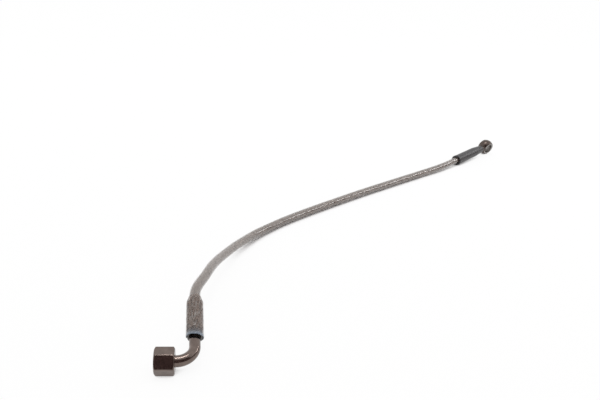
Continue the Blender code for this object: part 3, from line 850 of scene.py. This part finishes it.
class OILLINE_OT_nut(bpy.types.Operator):
    """Build the swivel nut: chamfered hexagon with a helical thread, seat and rear hole"""
    bl_idname = "oil_line.nut"
    bl_label = "Swivel nut"

    def execute(self, context):
        sizes, colours, _ = settings(context)
        angles = hexagon_angles(sizes)
        rings = [*nut_outside(sizes, angles), *nut_bore(sizes, angles)]
        rows = np.stack([ring_points(radius, angles, height) for radius, height in rings])
        shape = placed(rows, fitting_frame(NUT_FACE, NUT_AXIS))
        nut = weighted_normals(loft("swivel_nut_threaded", shape))
        dress(nut, bronzed_steel("nut_bronzed_steel", colours), "bronzed_steel", "nut", "swivel_nut")
        return {"FINISHED"}


class OILLINE_OT_cone(bpy.types.Operator):
    """Build the cone nipple and its sealing ring inside the nut"""
    bl_idname = "oil_line.cone"
    bl_label = "Cone nipple and ring"

    def execute(self, context):
        sizes, colours, _ = settings(context)
        flare = math.tan(NIPPLE_CONE_ANGLE)
        groove_end = RING_GROOVE_START + 2.0 * (RING_SECTION_RADIUS + sizes.gap)
        shoulder_end = NIPPLE_CONE_LENGTH + NIPPLE_SHOULDER_LENGTH
        whole = shoulder_end + NIPPLE_BACK_CHAMFER
        bore = sizes.tube_radius - sizes.tube_wall
        socket = sizes.tube_radius + sizes.gap
        profile = eased([
            (bore, 0.0),
            (NIPPLE_NOSE_RADIUS, 0.0),
            (NIPPLE_NOSE_RADIUS + RING_GROOVE_START * flare, RING_GROOVE_START),
            (RING_GROOVE_FLOOR_RADIUS, RING_GROOVE_START),
            (RING_GROOVE_FLOOR_RADIUS, groove_end),
            (NIPPLE_NOSE_RADIUS + groove_end * flare, groove_end),
            (NIPPLE_NOSE_RADIUS + NIPPLE_CONE_LENGTH * flare, NIPPLE_CONE_LENGTH),
            (NIPPLE_SHOULDER_RADIUS, NIPPLE_CONE_LENGTH),
            (NIPPLE_SHOULDER_RADIUS, shoulder_end),
            (NIPPLE_SHOULDER_RADIUS - NIPPLE_BACK_CHAMFER, whole),
            (socket, whole),
            (socket, whole - NIPPLE_SOCKET_DEPTH),
            (bore, whole - NIPPLE_SOCKET_DEPTH),
        ], TURNED_EDGE)
        matrix = fitting_frame(NUT_FACE, NUT_AXIS)
        rows = placed(turned(profile), matrix, NIPPLE_RECESS)
        nipple = weighted_normals(loft("cone_nipple_turned", rows))
        dress(nipple, plain_steel("nipple_steel", colours), "plain_steel", "line", "cone_nipple")
        section = full_turn(20)
        middle = RING_GROOVE_FLOOR_RADIUS + sizes.gap + RING_SECTION_RADIUS
        ring_profile = np.column_stack([
            middle + RING_SECTION_RADIUS * np.cos(section),
            RING_SECTION_RADIUS * np.sin(section),
        ])
        ring_offset = NIPPLE_RECESS + (RING_GROOVE_START + groove_end) / 2.0
        ring_rows = placed(turned(ring_profile), matrix, ring_offset)
        ring = loft("cone_ring_moulded", ring_rows, sharp=180.0)
        rubber = mottled("ring_rubber", colours.rubber, 2.0, smooth=0.35, rough=0.55)
        dress(ring, rubber, "ring_rubber", "line", "cone_o_ring")
        return {"FINISHED"}


class OILLINE_OT_elbow_tube(bpy.types.Operator):
    """Build the bent steel tube between the nut and the hose"""
    bl_idname = "oil_line.elbow_tube"
    bl_label = "Elbow tube"

    def execute(self, context):
        sizes, colours, place = settings(context)
        nipple_end = NIPPLE_RECESS + NIPPLE_CONE_LENGTH + NIPPLE_SHOULDER_LENGTH + NIPPLE_BACK_CHAMFER
        start = NUT_FACE + Vector((nipple_end - NIPPLE_SOCKET_DEPTH + sizes.gap, 0.0, 0.0))
        points = [numbers(start.lerp(place.bend_start, t)) for t in np.linspace(0.0, 1.0, 8, endpoint=False)]
        squeeze = [0.0] * len(points)
        for t in np.linspace(0.0, 1.0, 49):
            turn = sizes.bend_angle * t
            along = Vector((sizes.bend_radius * math.sin(turn), 0.0, 0.0))
            across = place.bend_side * sizes.bend_radius * (1.0 - math.cos(turn))
            points.append(numbers(place.bend_start + along + across))
            squeeze.append(TUBE_FLATTENING * math.sin(math.pi * t) ** 2)
        socket_depth = sizes.near_tail_offset + TAIL_SOCKET_DEPTH - sizes.gap
        end = place.elbow_end + place.elbow_direction * socket_depth
        for t in np.linspace(0.0, 1.0, 13)[1:]:
            points.append(numbers(place.elbow_end.lerp(end, t)))
            squeeze.append(0.0)
        path = np.array(points)
        sides, tops = carried_frames(path)
        angles = np.tile(full_turn(64), (len(path), 1))
        bend_normal = numbers(NUT_AXIS.cross(place.bend_side))
        out_of_plane = np.arctan2(tops @ bend_normal, sides @ bend_normal)[:, None]
        oval = 1.0 + np.array(squeeze)[:, None] * np.cos(2.0 * (angles - out_of_plane))
        skin = around_path(path, sides, tops, angles, sizes.tube_radius * oval)
        bore = around_path(path, sides, tops, angles, (sizes.tube_radius - sizes.tube_wall) * oval)
        tube = loft("elbow_tube_bent", np.concatenate([skin, bore[::-1]]))
        dress(tube, bronzed_steel("tube_bronzed_steel", colours), "bronzed_steel", "line", "elbow_tube")
        return {"FINISHED"}


def hose_tail(name, sizes, place, matrix, offset, colours, node):
    """Turned tail with a socket for the tube, a collar, a groove and a barbed stem."""
    stem_end = place.stem_start + BARB_PITCH * BARB_COUNT
    socket = sizes.tube_radius + sizes.gap
    profile = [
        (socket, 0.0),
        (place.ferrule_radius, 0.0),
        (place.ferrule_radius, sizes.collar_length),
        (TAIL_GROOVE_RADIUS, sizes.collar_length),
        (TAIL_GROOVE_RADIUS, place.stem_start),
        (BARB_ROOT_RADIUS, place.stem_start),
    ]
    for barb in range(BARB_COUNT):
        foot = place.stem_start + BARB_PITCH * barb
        profile.append((BARB_ROOT_RADIUS, foot + BARB_STEP))
        profile.append((BARB_RADIUS, foot + BARB_CREST))
        profile.append((BARB_ROOT_RADIUS, foot + BARB_PITCH))
    profile += [
        (TAIL_BORE_RADIUS, stem_end),
        (TAIL_BORE_RADIUS, TAIL_SOCKET_DEPTH),
        (socket, TAIL_SOCKET_DEPTH),
    ]
    rows = placed(turned(eased(profile, TAIL_EDGE), 72), matrix, offset)
    tail = weighted_normals(loft(name, rows))
    dress(tail, plain_steel(name + "_steel", colours, share=0.35), "plain_steel", "line", node)


def ferrule(name, sizes, place, matrix, offset, colours, node):
    """Crimped shell: flats pressed into its middle, fading out towards both ends."""
    grip = sizes.hose_radius + sizes.gap
    radius = place.ferrule_radius
    angles = full_turn(128)
    heights = np.linspace(place.ferrule_start, place.ferrule_end, 60)
    sector = 2.0 * math.pi / CRIMP_FLATS
    off_flat = np.mod(angles + sector / 2.0, sector) - sector / 2.0
    flats = np.minimum(radius, (radius - CRIMP_DEPTH) / np.cos(off_flat))
    inside = np.minimum(heights - place.ferrule_start, place.ferrule_end - heights) - CRIMP_END_MARGIN
    press = np.clip(inside / CRIMP_FADE + 0.5, 0.0, 1.0)
    roll = np.maximum(0.0, 1.0 - (place.ferrule_end - heights) / FERRULE_MOUTH_REACH) ** 2
    outer = radius + (flats - radius) * press[:, None] - FERRULE_MOUTH_ROLL * roll[:, None]
    lip_radius = TAIL_GROOVE_RADIUS + sizes.gap
    lip_top = place.ferrule_start + FERRULE_LIP
    back = numbers([
        (grip, place.ferrule_end),
        (grip, lip_top),
        (lip_radius, lip_top),
        (lip_radius, place.ferrule_start),
    ])
    rows = np.concatenate([ring_points(outer, angles, heights[:, None]), turned(back, len(angles))])
    shell = weighted_normals(loft(name, placed(rows, matrix, offset)))
    dress(shell, plain_steel(name + "_steel", colours), "plain_steel", "line", node)


class OILLINE_OT_crimps(bpy.types.Operator):
    """Build the barbed hose tails and the crimped ferrules at both ends of the hose"""
    bl_idname = "oil_line.crimps"
    bl_label = "Hose tails and ferrules"

    def execute(self, context):
        sizes, colours, place = settings(context)
        near = fitting_frame(place.elbow_end, place.elbow_direction)
        far = fitting_frame(place.eye_centre, place.stem_direction)
        ends = (("elbow", near, sizes.near_tail_offset), ("banjo", far, sizes.far_tail_offset))
        for end, matrix, offset in ends:
            hose_tail(end + "_tail_turned", sizes, place, matrix, offset, colours, end + "_hose_tail")
            ferrule(end + "_ferrule_crimped", sizes, place, matrix, offset, colours, end + "_ferrule")
        return {"FINISHED"}


def sleeve_rows(radii, heights, wall, angles):
    """Rows for a sleeve: up the outer side, then down the inner one, with a rounded first edge."""
    wall = np.broadcast_to(wall, radii.shape)
    outer = ring_points(radii, angles, heights)
    inner = ring_points(radii - wall, angles, heights)
    middle = (outer[0] + inner[0]) / 2.0
    middle[:, 2] -= 0.4 * wall[0]
    return np.concatenate([outer, inner[::-1], middle[None]])


def bell(distance, reach):
    """One at no distance, fading out smoothly past the reach."""
    return np.exp(-((distance / reach) ** 2))


def blurred(heights, marks, radii, reaches):
    """Radii interpolated between the marks, with their corners evened out."""
    shifts = [sign * reach for reach in reaches for sign in (-1.0, 1.0)]
    return sum(np.interp(heights + shift, marks, radii) for shift in shifts) / len(shifts)


def ripple(angles, heights, seed):
    """Slow unevenness of shrunk plastic, between about -1 and 1."""
    slow = np.sin(2.0 * angles + heights * 310.0 + seed) * np.sin(heights * 530.0 + 2.1 * seed)
    fine = np.sin(5.0 * angles - heights * 900.0 + 1.7 * seed) * 0.4
    return slow * 0.7 + fine


def clear_sleeve(sizes, colours, place, angles):
    """Clear sleeve on the elbow's ferrule, flared and rolled in at its oblique lip."""
    radius = place.sleeve_radius
    slant = math.tan(sizes.near_lip_slant)
    longest = math.pi / 2.0 + sizes.near_lip_bearing
    lip = sizes.near_lip_offset + (radius + LIP_FLARE) * slant
    lip = lip - LIP_PULLED_BACK * radius * slant * np.cos(angles - longest)
    lip += LIP_WAVE * np.sin(7.0 * angles + 0.6)
    nick = np.mod(angles - LIP_NICK_BEARING + math.pi, 2.0 * math.pi) - math.pi
    lip += LIP_NICK * bell(nick, LIP_NICK_WIDTH)
    share = np.concatenate([np.linspace(0.0, 0.12, 10), np.linspace(0.14, 1.0, 70)])[:, None]
    end = place.near_sleeve_end
    past_lip = share * (end - lip)
    heights = lip + past_lip
    hose_fit = place.hose_sleeve_radius
    ferrule_end = sizes.near_tail_offset + place.ferrule_end
    marks = (0.0, ferrule_end, ferrule_end + SHOULDER_START, ferrule_end + SHOULDER_END, end)
    radii_at = (radius, radius, radius - SHOULDER_DROP, hose_fit + SHOULDER_DROP, hose_fit)
    body = blurred(heights, marks, radii_at, CLEAR_BLUR)
    body += LIP_FLARE * np.exp(-past_lip / LIP_FLARE_REACH) - LIP_ROLL * bell(past_lip, LIP_ROLL_REACH)
    pressed_start = sizes.near_tail_offset + CRIMPS_SHOW_FROM
    pressed_end = ferrule_end - CRIMPS_SHOW_TO
    pressed = np.clip((heights - pressed_start) / CRIMPS_SHOW_FADE, 0.0, 1.0)
    pressed *= np.clip((pressed_end - heights) / CRIMPS_SHOW_FADE, 0.0, 1.0)
    body -= CRIMPS_SHOWING * pressed * (0.5 - 0.5 * np.cos(CRIMP_FLATS * angles))
    body += CLEAR_RIPPLE * ripple(angles, heights, 0.4)
    rows = sleeve_rows(body, heights, sizes.sleeve_wall, angles)
    matrix = fitting_frame(place.elbow_end, place.elbow_direction)
    sleeve = loft("elbow_sleeve_clear", placed(rows, matrix), sharp=60.0)
    # Near the lip the inner wall takes the lip's blue tint. Deeper in it gets a painted shade, stored for the
    # material.
    inner_mouth = bell(past_lip, INNER_MOUTH_REACH)
    dark = (1.0 - np.exp(-past_lip / MOUTH_SHADE_ONSET)) * inner_mouth
    tint = np.concatenate([bell(past_lip, LIP_TINT_REACH), inner_mouth[::-1], np.ones((1, len(angles)))])
    inside = np.concatenate([np.zeros_like(dark), dark[::-1], np.zeros((1, len(angles)))])
    point_value(sleeve, "lip_tint", tint)
    point_value(sleeve, "mouth_shade_mask", inside)
    dress(sleeve, clear_shrink(colours), "clear_shrink", "line", "elbow_shrink_sleeve")


def black_sleeve(sizes, colours, place, angles):
    """Black sleeve from the banjo eye's stem over its ferrule, closed on the hose."""
    neck = STEM_NECK_RADIUS + sizes.gap + sizes.sleeve_wall
    end = place.far_sleeve_end + FAR_SLEEVE_OVERLAP
    heights = np.linspace(FAR_SLEEVE_START, end, 130)[:, None] * np.ones_like(angles)
    marks = (0.0, STEM_NECK_END, STEM_CONE_END, end)
    radii_at = (neck, neck, place.sleeve_radius, place.sleeve_radius)
    body = blurred(heights, marks, radii_at, BLACK_BLUR)
    body += BLACK_RIM * bell(end - BLACK_RIM_REACH - heights, BLACK_RIM_REACH)
    collar_end = sizes.far_tail_offset + sizes.collar_length
    body -= BLACK_GROOVE * bell(heights - collar_end, BLACK_GROOVE_REACH)
    body += BLACK_RIPPLE * ripple(angles, heights, 1.9)
    closing = bell(end - heights, BLACK_CLOSING_REACH)
    wall = sizes.sleeve_wall + closing * (body - sizes.sleeve_wall - sizes.hose_radius - sizes.gap / 2.0)
    rows = sleeve_rows(body, heights, wall, angles)
    matrix = fitting_frame(place.eye_centre, place.stem_direction)
    sleeve = loft("banjo_sleeve_black", placed(rows, matrix), sharp=60.0)
    finish = mottled("black_shrink", colours.black_shrink, 1.8, bump=0.08, blotch_scale=300.0,
                     grain_scale=2200.0, wear=0.7, smooth=0.34, rough=0.5)
    dress(sleeve, finish, "black_shrink", "line", "banjo_shrink_sleeve")


class OILLINE_OT_sleeves(bpy.types.Operator):
    """Build the clear and the black heat-shrink sleeve"""
    bl_idname = "oil_line.sleeves"
    bl_label = "Heat-shrink sleeves"

    def execute(self, context):
        sizes, colours, place = settings(context)
        angles = full_turn(120)
        clear_sleeve(sizes, colours, place, angles)
        black_sleeve(sizes, colours, place, angles)
        return {"FINISHED"}


def eye_profile(sizes):
    """Half section of the eye's ball with its two faces and its bore, as (radius, height)."""
    half = sizes.eye_thickness / 2.0
    limit = math.asin(half / sizes.eye_radius)
    sweep = np.linspace(-limit, limit, 34)
    ball = sizes.eye_radius * np.column_stack([np.cos(sweep), np.sin(sweep)])
    bore = sizes.eye_bore_radius
    rim = ball[-1][0] - FACE_EDGE
    return np.concatenate([ball[1:-1], numbers([
        (rim + 0.0002, half - EYE_RIM_EDGE),
        (rim, half),
        (bore + EYE_CHAMFER, half),
        (bore, half - EYE_CHAMFER),
        (bore, EYE_CHAMFER - half),
        (bore + EYE_CHAMFER, -half),
        (rim, -half),
        (rim + 0.0002, EYE_RIM_EDGE - half),
    ])])


def eye_matrix(sizes, place):
    """Local Z along the eye's bore, which is rolled about the stem and leans towards it."""
    stem = place.stem_direction
    square = Vector((-stem.y, stem.x, 0.0)).normalized()
    rolled = Matrix.Rotation(-sizes.eye_roll, 3, stem) @ square
    bore = rolled * math.cos(sizes.eye_tilt) + stem * math.sin(sizes.eye_tilt)
    across = bore.cross(stem).normalized()
    turn = Matrix((across.cross(bore), across, bore)).transposed().to_4x4()
    return Matrix.Translation(place.eye_centre) @ turn


def stem_profiles(sizes, place):
    """Half sections of the stem, which is added to the ball, and of its oil passage, which is cut."""
    bore = sizes.eye_bore_radius
    neck = STEM_NECK_RADIUS
    spigot_end = sizes.far_tail_offset + TAIL_SOCKET_DEPTH - sizes.gap
    collar_end = sizes.far_tail_offset - sizes.gap
    start = (bore + EYE_CHAMFER + neck * math.sin(sizes.eye_tilt)) / math.cos(sizes.eye_tilt)
    fillet = [
        (neck + STEM_FILLET * (1.0 - math.sin(t)), STEM_ROOT + STEM_FILLET * (1.0 - math.cos(t)))
        for t in np.linspace(0.3, math.pi / 2.0, 8)
    ]
    stem = numbers([
        (NEAR_AXIS, start),
        (neck, start),
        *fillet,
        (neck, STEM_NECK_END),
        (place.ferrule_radius, STEM_CONE_END),
        (place.ferrule_radius, collar_end),
        (sizes.tube_radius, collar_end),
        (sizes.tube_radius, spigot_end),
        (NEAR_AXIS, spigot_end),
    ])
    passage = numbers([
        (NEAR_AXIS, bore / 2.0),
        (TAIL_BORE_RADIUS, bore / 2.0),
        (TAIL_BORE_RADIUS, spigot_end + CUT_OVERRUN),
        (NEAR_AXIS, spigot_end + CUT_OVERRUN),
    ])
    return stem, passage


def combine(obj, tool, operation):
    """Adds the tool's solid to the object or cuts it away, and removes the tool."""
    modifier = obj.modifiers.new(tool.name, "BOOLEAN")
    modifier.operation = operation
    modifier.object = tool
    modifier.solver = "EXACT"
    bpy.context.view_layer.update()
    evaluated = obj.evaluated_get(bpy.context.evaluated_depsgraph_get())
    shape = bpy.data.meshes.new_from_object(evaluated)
    obj.modifiers.clear()
    obj.data = shape
    bpy.data.objects.remove(tool)


class OILLINE_OT_banjo_eye(bpy.types.Operator):
    """Build the forged banjo eye with its bore, stem and oil passage"""
    bl_idname = "oil_line.banjo_eye"
    bl_label = "Banjo eye"

    def execute(self, context):
        sizes, colours, place = settings(context)
        matrix = eye_matrix(sizes, place)
        rows = placed(turned(eye_profile(sizes), 144), matrix)
        eye = loft("banjo_eye_forged", rows, sharp=40.0)
        stem, passage = stem_profiles(sizes, place)
        stem_matrix = fitting_frame(place.eye_centre, place.stem_direction)
        for name, profile, operation in (
            ("eye_stem_tool", stem, "UNION"),
            ("eye_passage_tool", passage, "DIFFERENCE"),
        ):
            tool = loft(name, placed(turned(profile), stem_matrix))
            combine(eye, tool, operation)
        eye.data.shade_smooth()
        eye.data.set_sharp_from_angle(angle=math.radians(40.0))
        weighted_normals(eye)
        half = sizes.eye_thickness / 2.0
        bore_edge = sizes.eye_bore_radius + EYE_CHAMFER + 0.00002
        local = [matrix.inverted() @ vertex.co for vertex in eye.data.vertices]
        point_value(eye, "machined", [
            abs(abs(point.z) - half) < 0.00003 or math.hypot(point.x, point.y) < bore_edge for point in local
        ])
        plated = bronzed_steel("eye_bronzed_steel", colours, share=0.65, smooth=0.24, rough=0.38)
        dress(eye, machined_where_marked(plated, colours), "bronzed_steel", "line", "banjo_eye")
        return {"FINISHED"}


def area_lamp(name, place, aim, size, size_y, radiance):
    """A rectangular softbox of the given radiance, turned towards the aim."""
    lamp = bpy.data.lights.new(name, "AREA")
    lamp.shape = "RECTANGLE"
    lamp.size = size
    lamp.size_y = size_y
    lamp.energy = radiance * math.pi * size * size_y
    obj = linked(name, lamp)
    obj.location = place
    obj.rotation_euler = (Vector(aim) - Vector(place)).to_track_quat("-Z", "Y").to_euler()


def seen_directly(tree):
    """One for rays from the camera and through clear plastic, a part for gloss, else zero."""
    rays = add_node(tree, "LightPath").outputs
    gloss = worked_out(tree, "MULTIPLY", rays["Is Glossy Ray"], GLOSS_WHITE_SHARE)
    seen = worked_out(tree, "MAXIMUM", rays["Is Camera Ray"], gloss)
    return worked_out(tree, "MAXIMUM", seen, rays["Is Transmission Ray"])


def away_from_middle(tree):
    """Painted light on the floor: how far its white reaches in under the line, little at its middle, more at
    both ends.
    """
    where = add_node(tree, "NewGeometry").outputs["Position"]
    along = add_node(tree, "SeparateXYZ", {"Vector": where}).outputs["Y"]
    apart = worked_out(tree, "ABSOLUTE", worked_out(tree, "SUBTRACT", along, SHADOW_MIDDLE_Y))
    return ranged(tree, apart, SHADOW_DARK_REACH, SHADOW_LIGHT_REACH, to_max=SHADOW_END_LIFT)


def floor_finish(colours):
    """Matt white, with a plain white level for what is seen directly. Near the line's contact a mask from
    ambient occlusion and place takes that white away, so the contact shadow there is partly real and partly
    painted.
    """
    material, tree, shader = new_material("floor")
    feed(tree, shader, {"Base Color": rgba(colours.floor), "Roughness": 0.8, "Specular IOR Level": 0.0})
    white = add_node(tree, "Emission", {"Strength": 1.0})
    # Painted contact shade: the white level fades out where ambient occlusion finds the line close by.
    open_sky = add_node(tree, "AmbientOcclusion", {"Distance": CONTACT_REACH}, samples=16).outputs["AO"]
    lifted = worked_out(tree, "ADD", open_sky, away_from_middle(tree))
    clear = ranged(tree, lifted, CONTACT_DARK, CONTACT_CLEAR, to_max=FLOOR_WHITE_SHARE)
    share = worked_out(tree, "MULTIPLY", seen_directly(tree), clear)
    shaders = {1: shader.outputs["BSDF"], 2: white.outputs["Emission"]}
    blend = add_node(tree, "MixShader", {"Fac": share, **shaders}).outputs["Shader"]
    feed(tree, tree.nodes["Material Output"], {"Surface": blend})
    return material


def flag_finish(name):
    """Matt dark card."""
    material, tree, shader = new_material(name)
    feed(tree, shader, {"Base Color": rgba(FLAG_COLOUR), "Roughness": 1.0, "Specular IOR Level": 0.0})
    return material


def card(name, corners, material, **shown_to):
    """A flat rectangle of the stage, hidden from or shown to the named kinds of ray."""
    mesh = bpy.data.meshes.new(name)
    mesh.from_pydata(corners, [], [(0, 1, 2, 3)])
    mesh.materials.append(material)
    obj = linked(name, mesh)
    for ray, shown in shown_to.items():
        setattr(obj, "visible_" + ray, shown)


def upright(start, end, height):
    """Corners of a rectangle that stands on the floor between two points."""
    return [(*start, 0.0), (*end, 0.0), (*end, height), (*start, height)]


class OILLINE_OT_stage(bpy.types.Operator):
    """Build the camera, the pale floor, the soft lamps and the white surroundings"""
    bl_idname = "oil_line.stage"
    bl_label = "Stage"

    def execute(self, context):
        context.scene.view_settings.view_transform = "Standard"
        self.camera(context.scene)
        self.surroundings(context.scene)
        reach = FLOOR_REACH
        corners = [(-reach, -reach, 0.0), (reach, -reach, 0.0), (reach, reach, 0.0), (-reach, reach, 0.0)]
        card("floor", corners, floor_finish(context.scene.oil_line_colours))
        area_lamp("overhead_softbox", place=(-0.10, 0.05, 2.5), aim=(-0.10, 0.0, 0.0), size=0.80, size_y=0.18,
                  radiance=22.0)
        area_lamp("side_strip", place=(1.35, 0.35, 0.55), aim=(0.0, 0.09, 0.0), size=0.9, size_y=0.10,
                  radiance=9.0)
        left = (-FRONT_FLAG_HALF_WIDTH, FRONT_FLAG_Y)
        right = (FRONT_FLAG_HALF_WIDTH, FRONT_FLAG_Y)
        near = (RIGHT_FLAG_X, FRONT_FLAG_Y)
        far = (RIGHT_FLAG_X, RIGHT_FLAG_END_Y)
        self.flag("front_flag", upright(left, right, FRONT_FLAG_HEIGHT), True)
        self.flag("right_flag", upright(near, far, RIGHT_FLAG_HEIGHT), False)
        return {"FINISHED"}

    def flag(self, name, corners, shades):
        """A dark card that shows in reflections and, where it shades, holds back soft light."""
        card(name, corners, flag_finish(name), camera=False, diffuse=shades, shadow=False)

    def camera(self, scene):
        camera = bpy.data.cameras.new("camera")
        camera.sensor_fit = "HORIZONTAL"
        camera.sensor_width = SENSOR_WIDTH
        camera.lens = FOCAL_PIXELS / IMAGE_WIDTH * SENSOR_WIDTH
        camera.shift_x = (IMAGE_WIDTH / 2.0 - OPTICAL_AXIS_PIXEL) / IMAGE_WIDTH
        camera.clip_start = 0.01
        camera.clip_end = 100.0
        scene.camera = linked("camera", camera)
        scene.camera.location = CAMERA_PLACE
        scene.camera.rotation_euler = (math.pi / 2.0 - CAMERA_PITCH, 0.0, 0.0)

    def surroundings(self, scene):
        """Plain white all round, at strength 1."""
        scene.world = bpy.data.worlds.new("surroundings")
        scene.world.use_nodes = True
        background = scene.world.node_tree.nodes["Background"]
        feed(scene.world.node_tree, background, {"Color": (1.0, 1.0, 1.0, 1.0), "Strength": 1.0})


class OILLINE_PT_panel(bpy.types.Panel):
    """Sizes, colours and buttons of the oil cooler line"""
    bl_idname = "OILLINE_PT_panel"
    bl_label = "Oil Cooler Line"
    bl_space_type = "VIEW_3D"
    bl_region_type = "UI"
    bl_category = "Oil Line"

    def draw(self, context):
        for operator in OPERATORS:
            self.layout.operator(operator.bl_idname)
        for group in (context.scene.oil_line_sizes, context.scene.oil_line_colours):
            column = self.layout.column()
            for name in group.bl_rna.properties.keys():
                if name not in ("rna_type", "name"):
                    column.prop(group, name)


OPERATORS = (
    OILLINE_OT_stage,
    OILLINE_OT_hose,
    OILLINE_OT_nut,
    OILLINE_OT_cone,
    OILLINE_OT_elbow_tube,
    OILLINE_OT_crimps,
    OILLINE_OT_sleeves,
    OILLINE_OT_banjo_eye,
)
CLASSES = (OilLineSizes, OilLineColours, *OPERATORS, OILLINE_PT_panel)


def register():
    for cls in CLASSES:
        bpy.utils.register_class(cls)
    bpy.types.Scene.oil_line_sizes = PointerProperty(type=OilLineSizes)
    bpy.types.Scene.oil_line_colours = PointerProperty(type=OilLineColours)


def unregister():
    del bpy.types.Scene.oil_line_colours
    del bpy.types.Scene.oil_line_sizes
    for cls in reversed(CLASSES):
        bpy.utils.unregister_class(cls)


def main():
    register()
    bpy.ops.oil_line.stage()
    bpy.ops.oil_line.hose()
    bpy.ops.oil_line.nut()
    bpy.ops.oil_line.cone()
    bpy.ops.oil_line.elbow_tube()
    bpy.ops.oil_line.crimps()
    bpy.ops.oil_line.sleeves()
    bpy.ops.oil_line.banjo_eye()


if __name__ == "__main__":
    main()
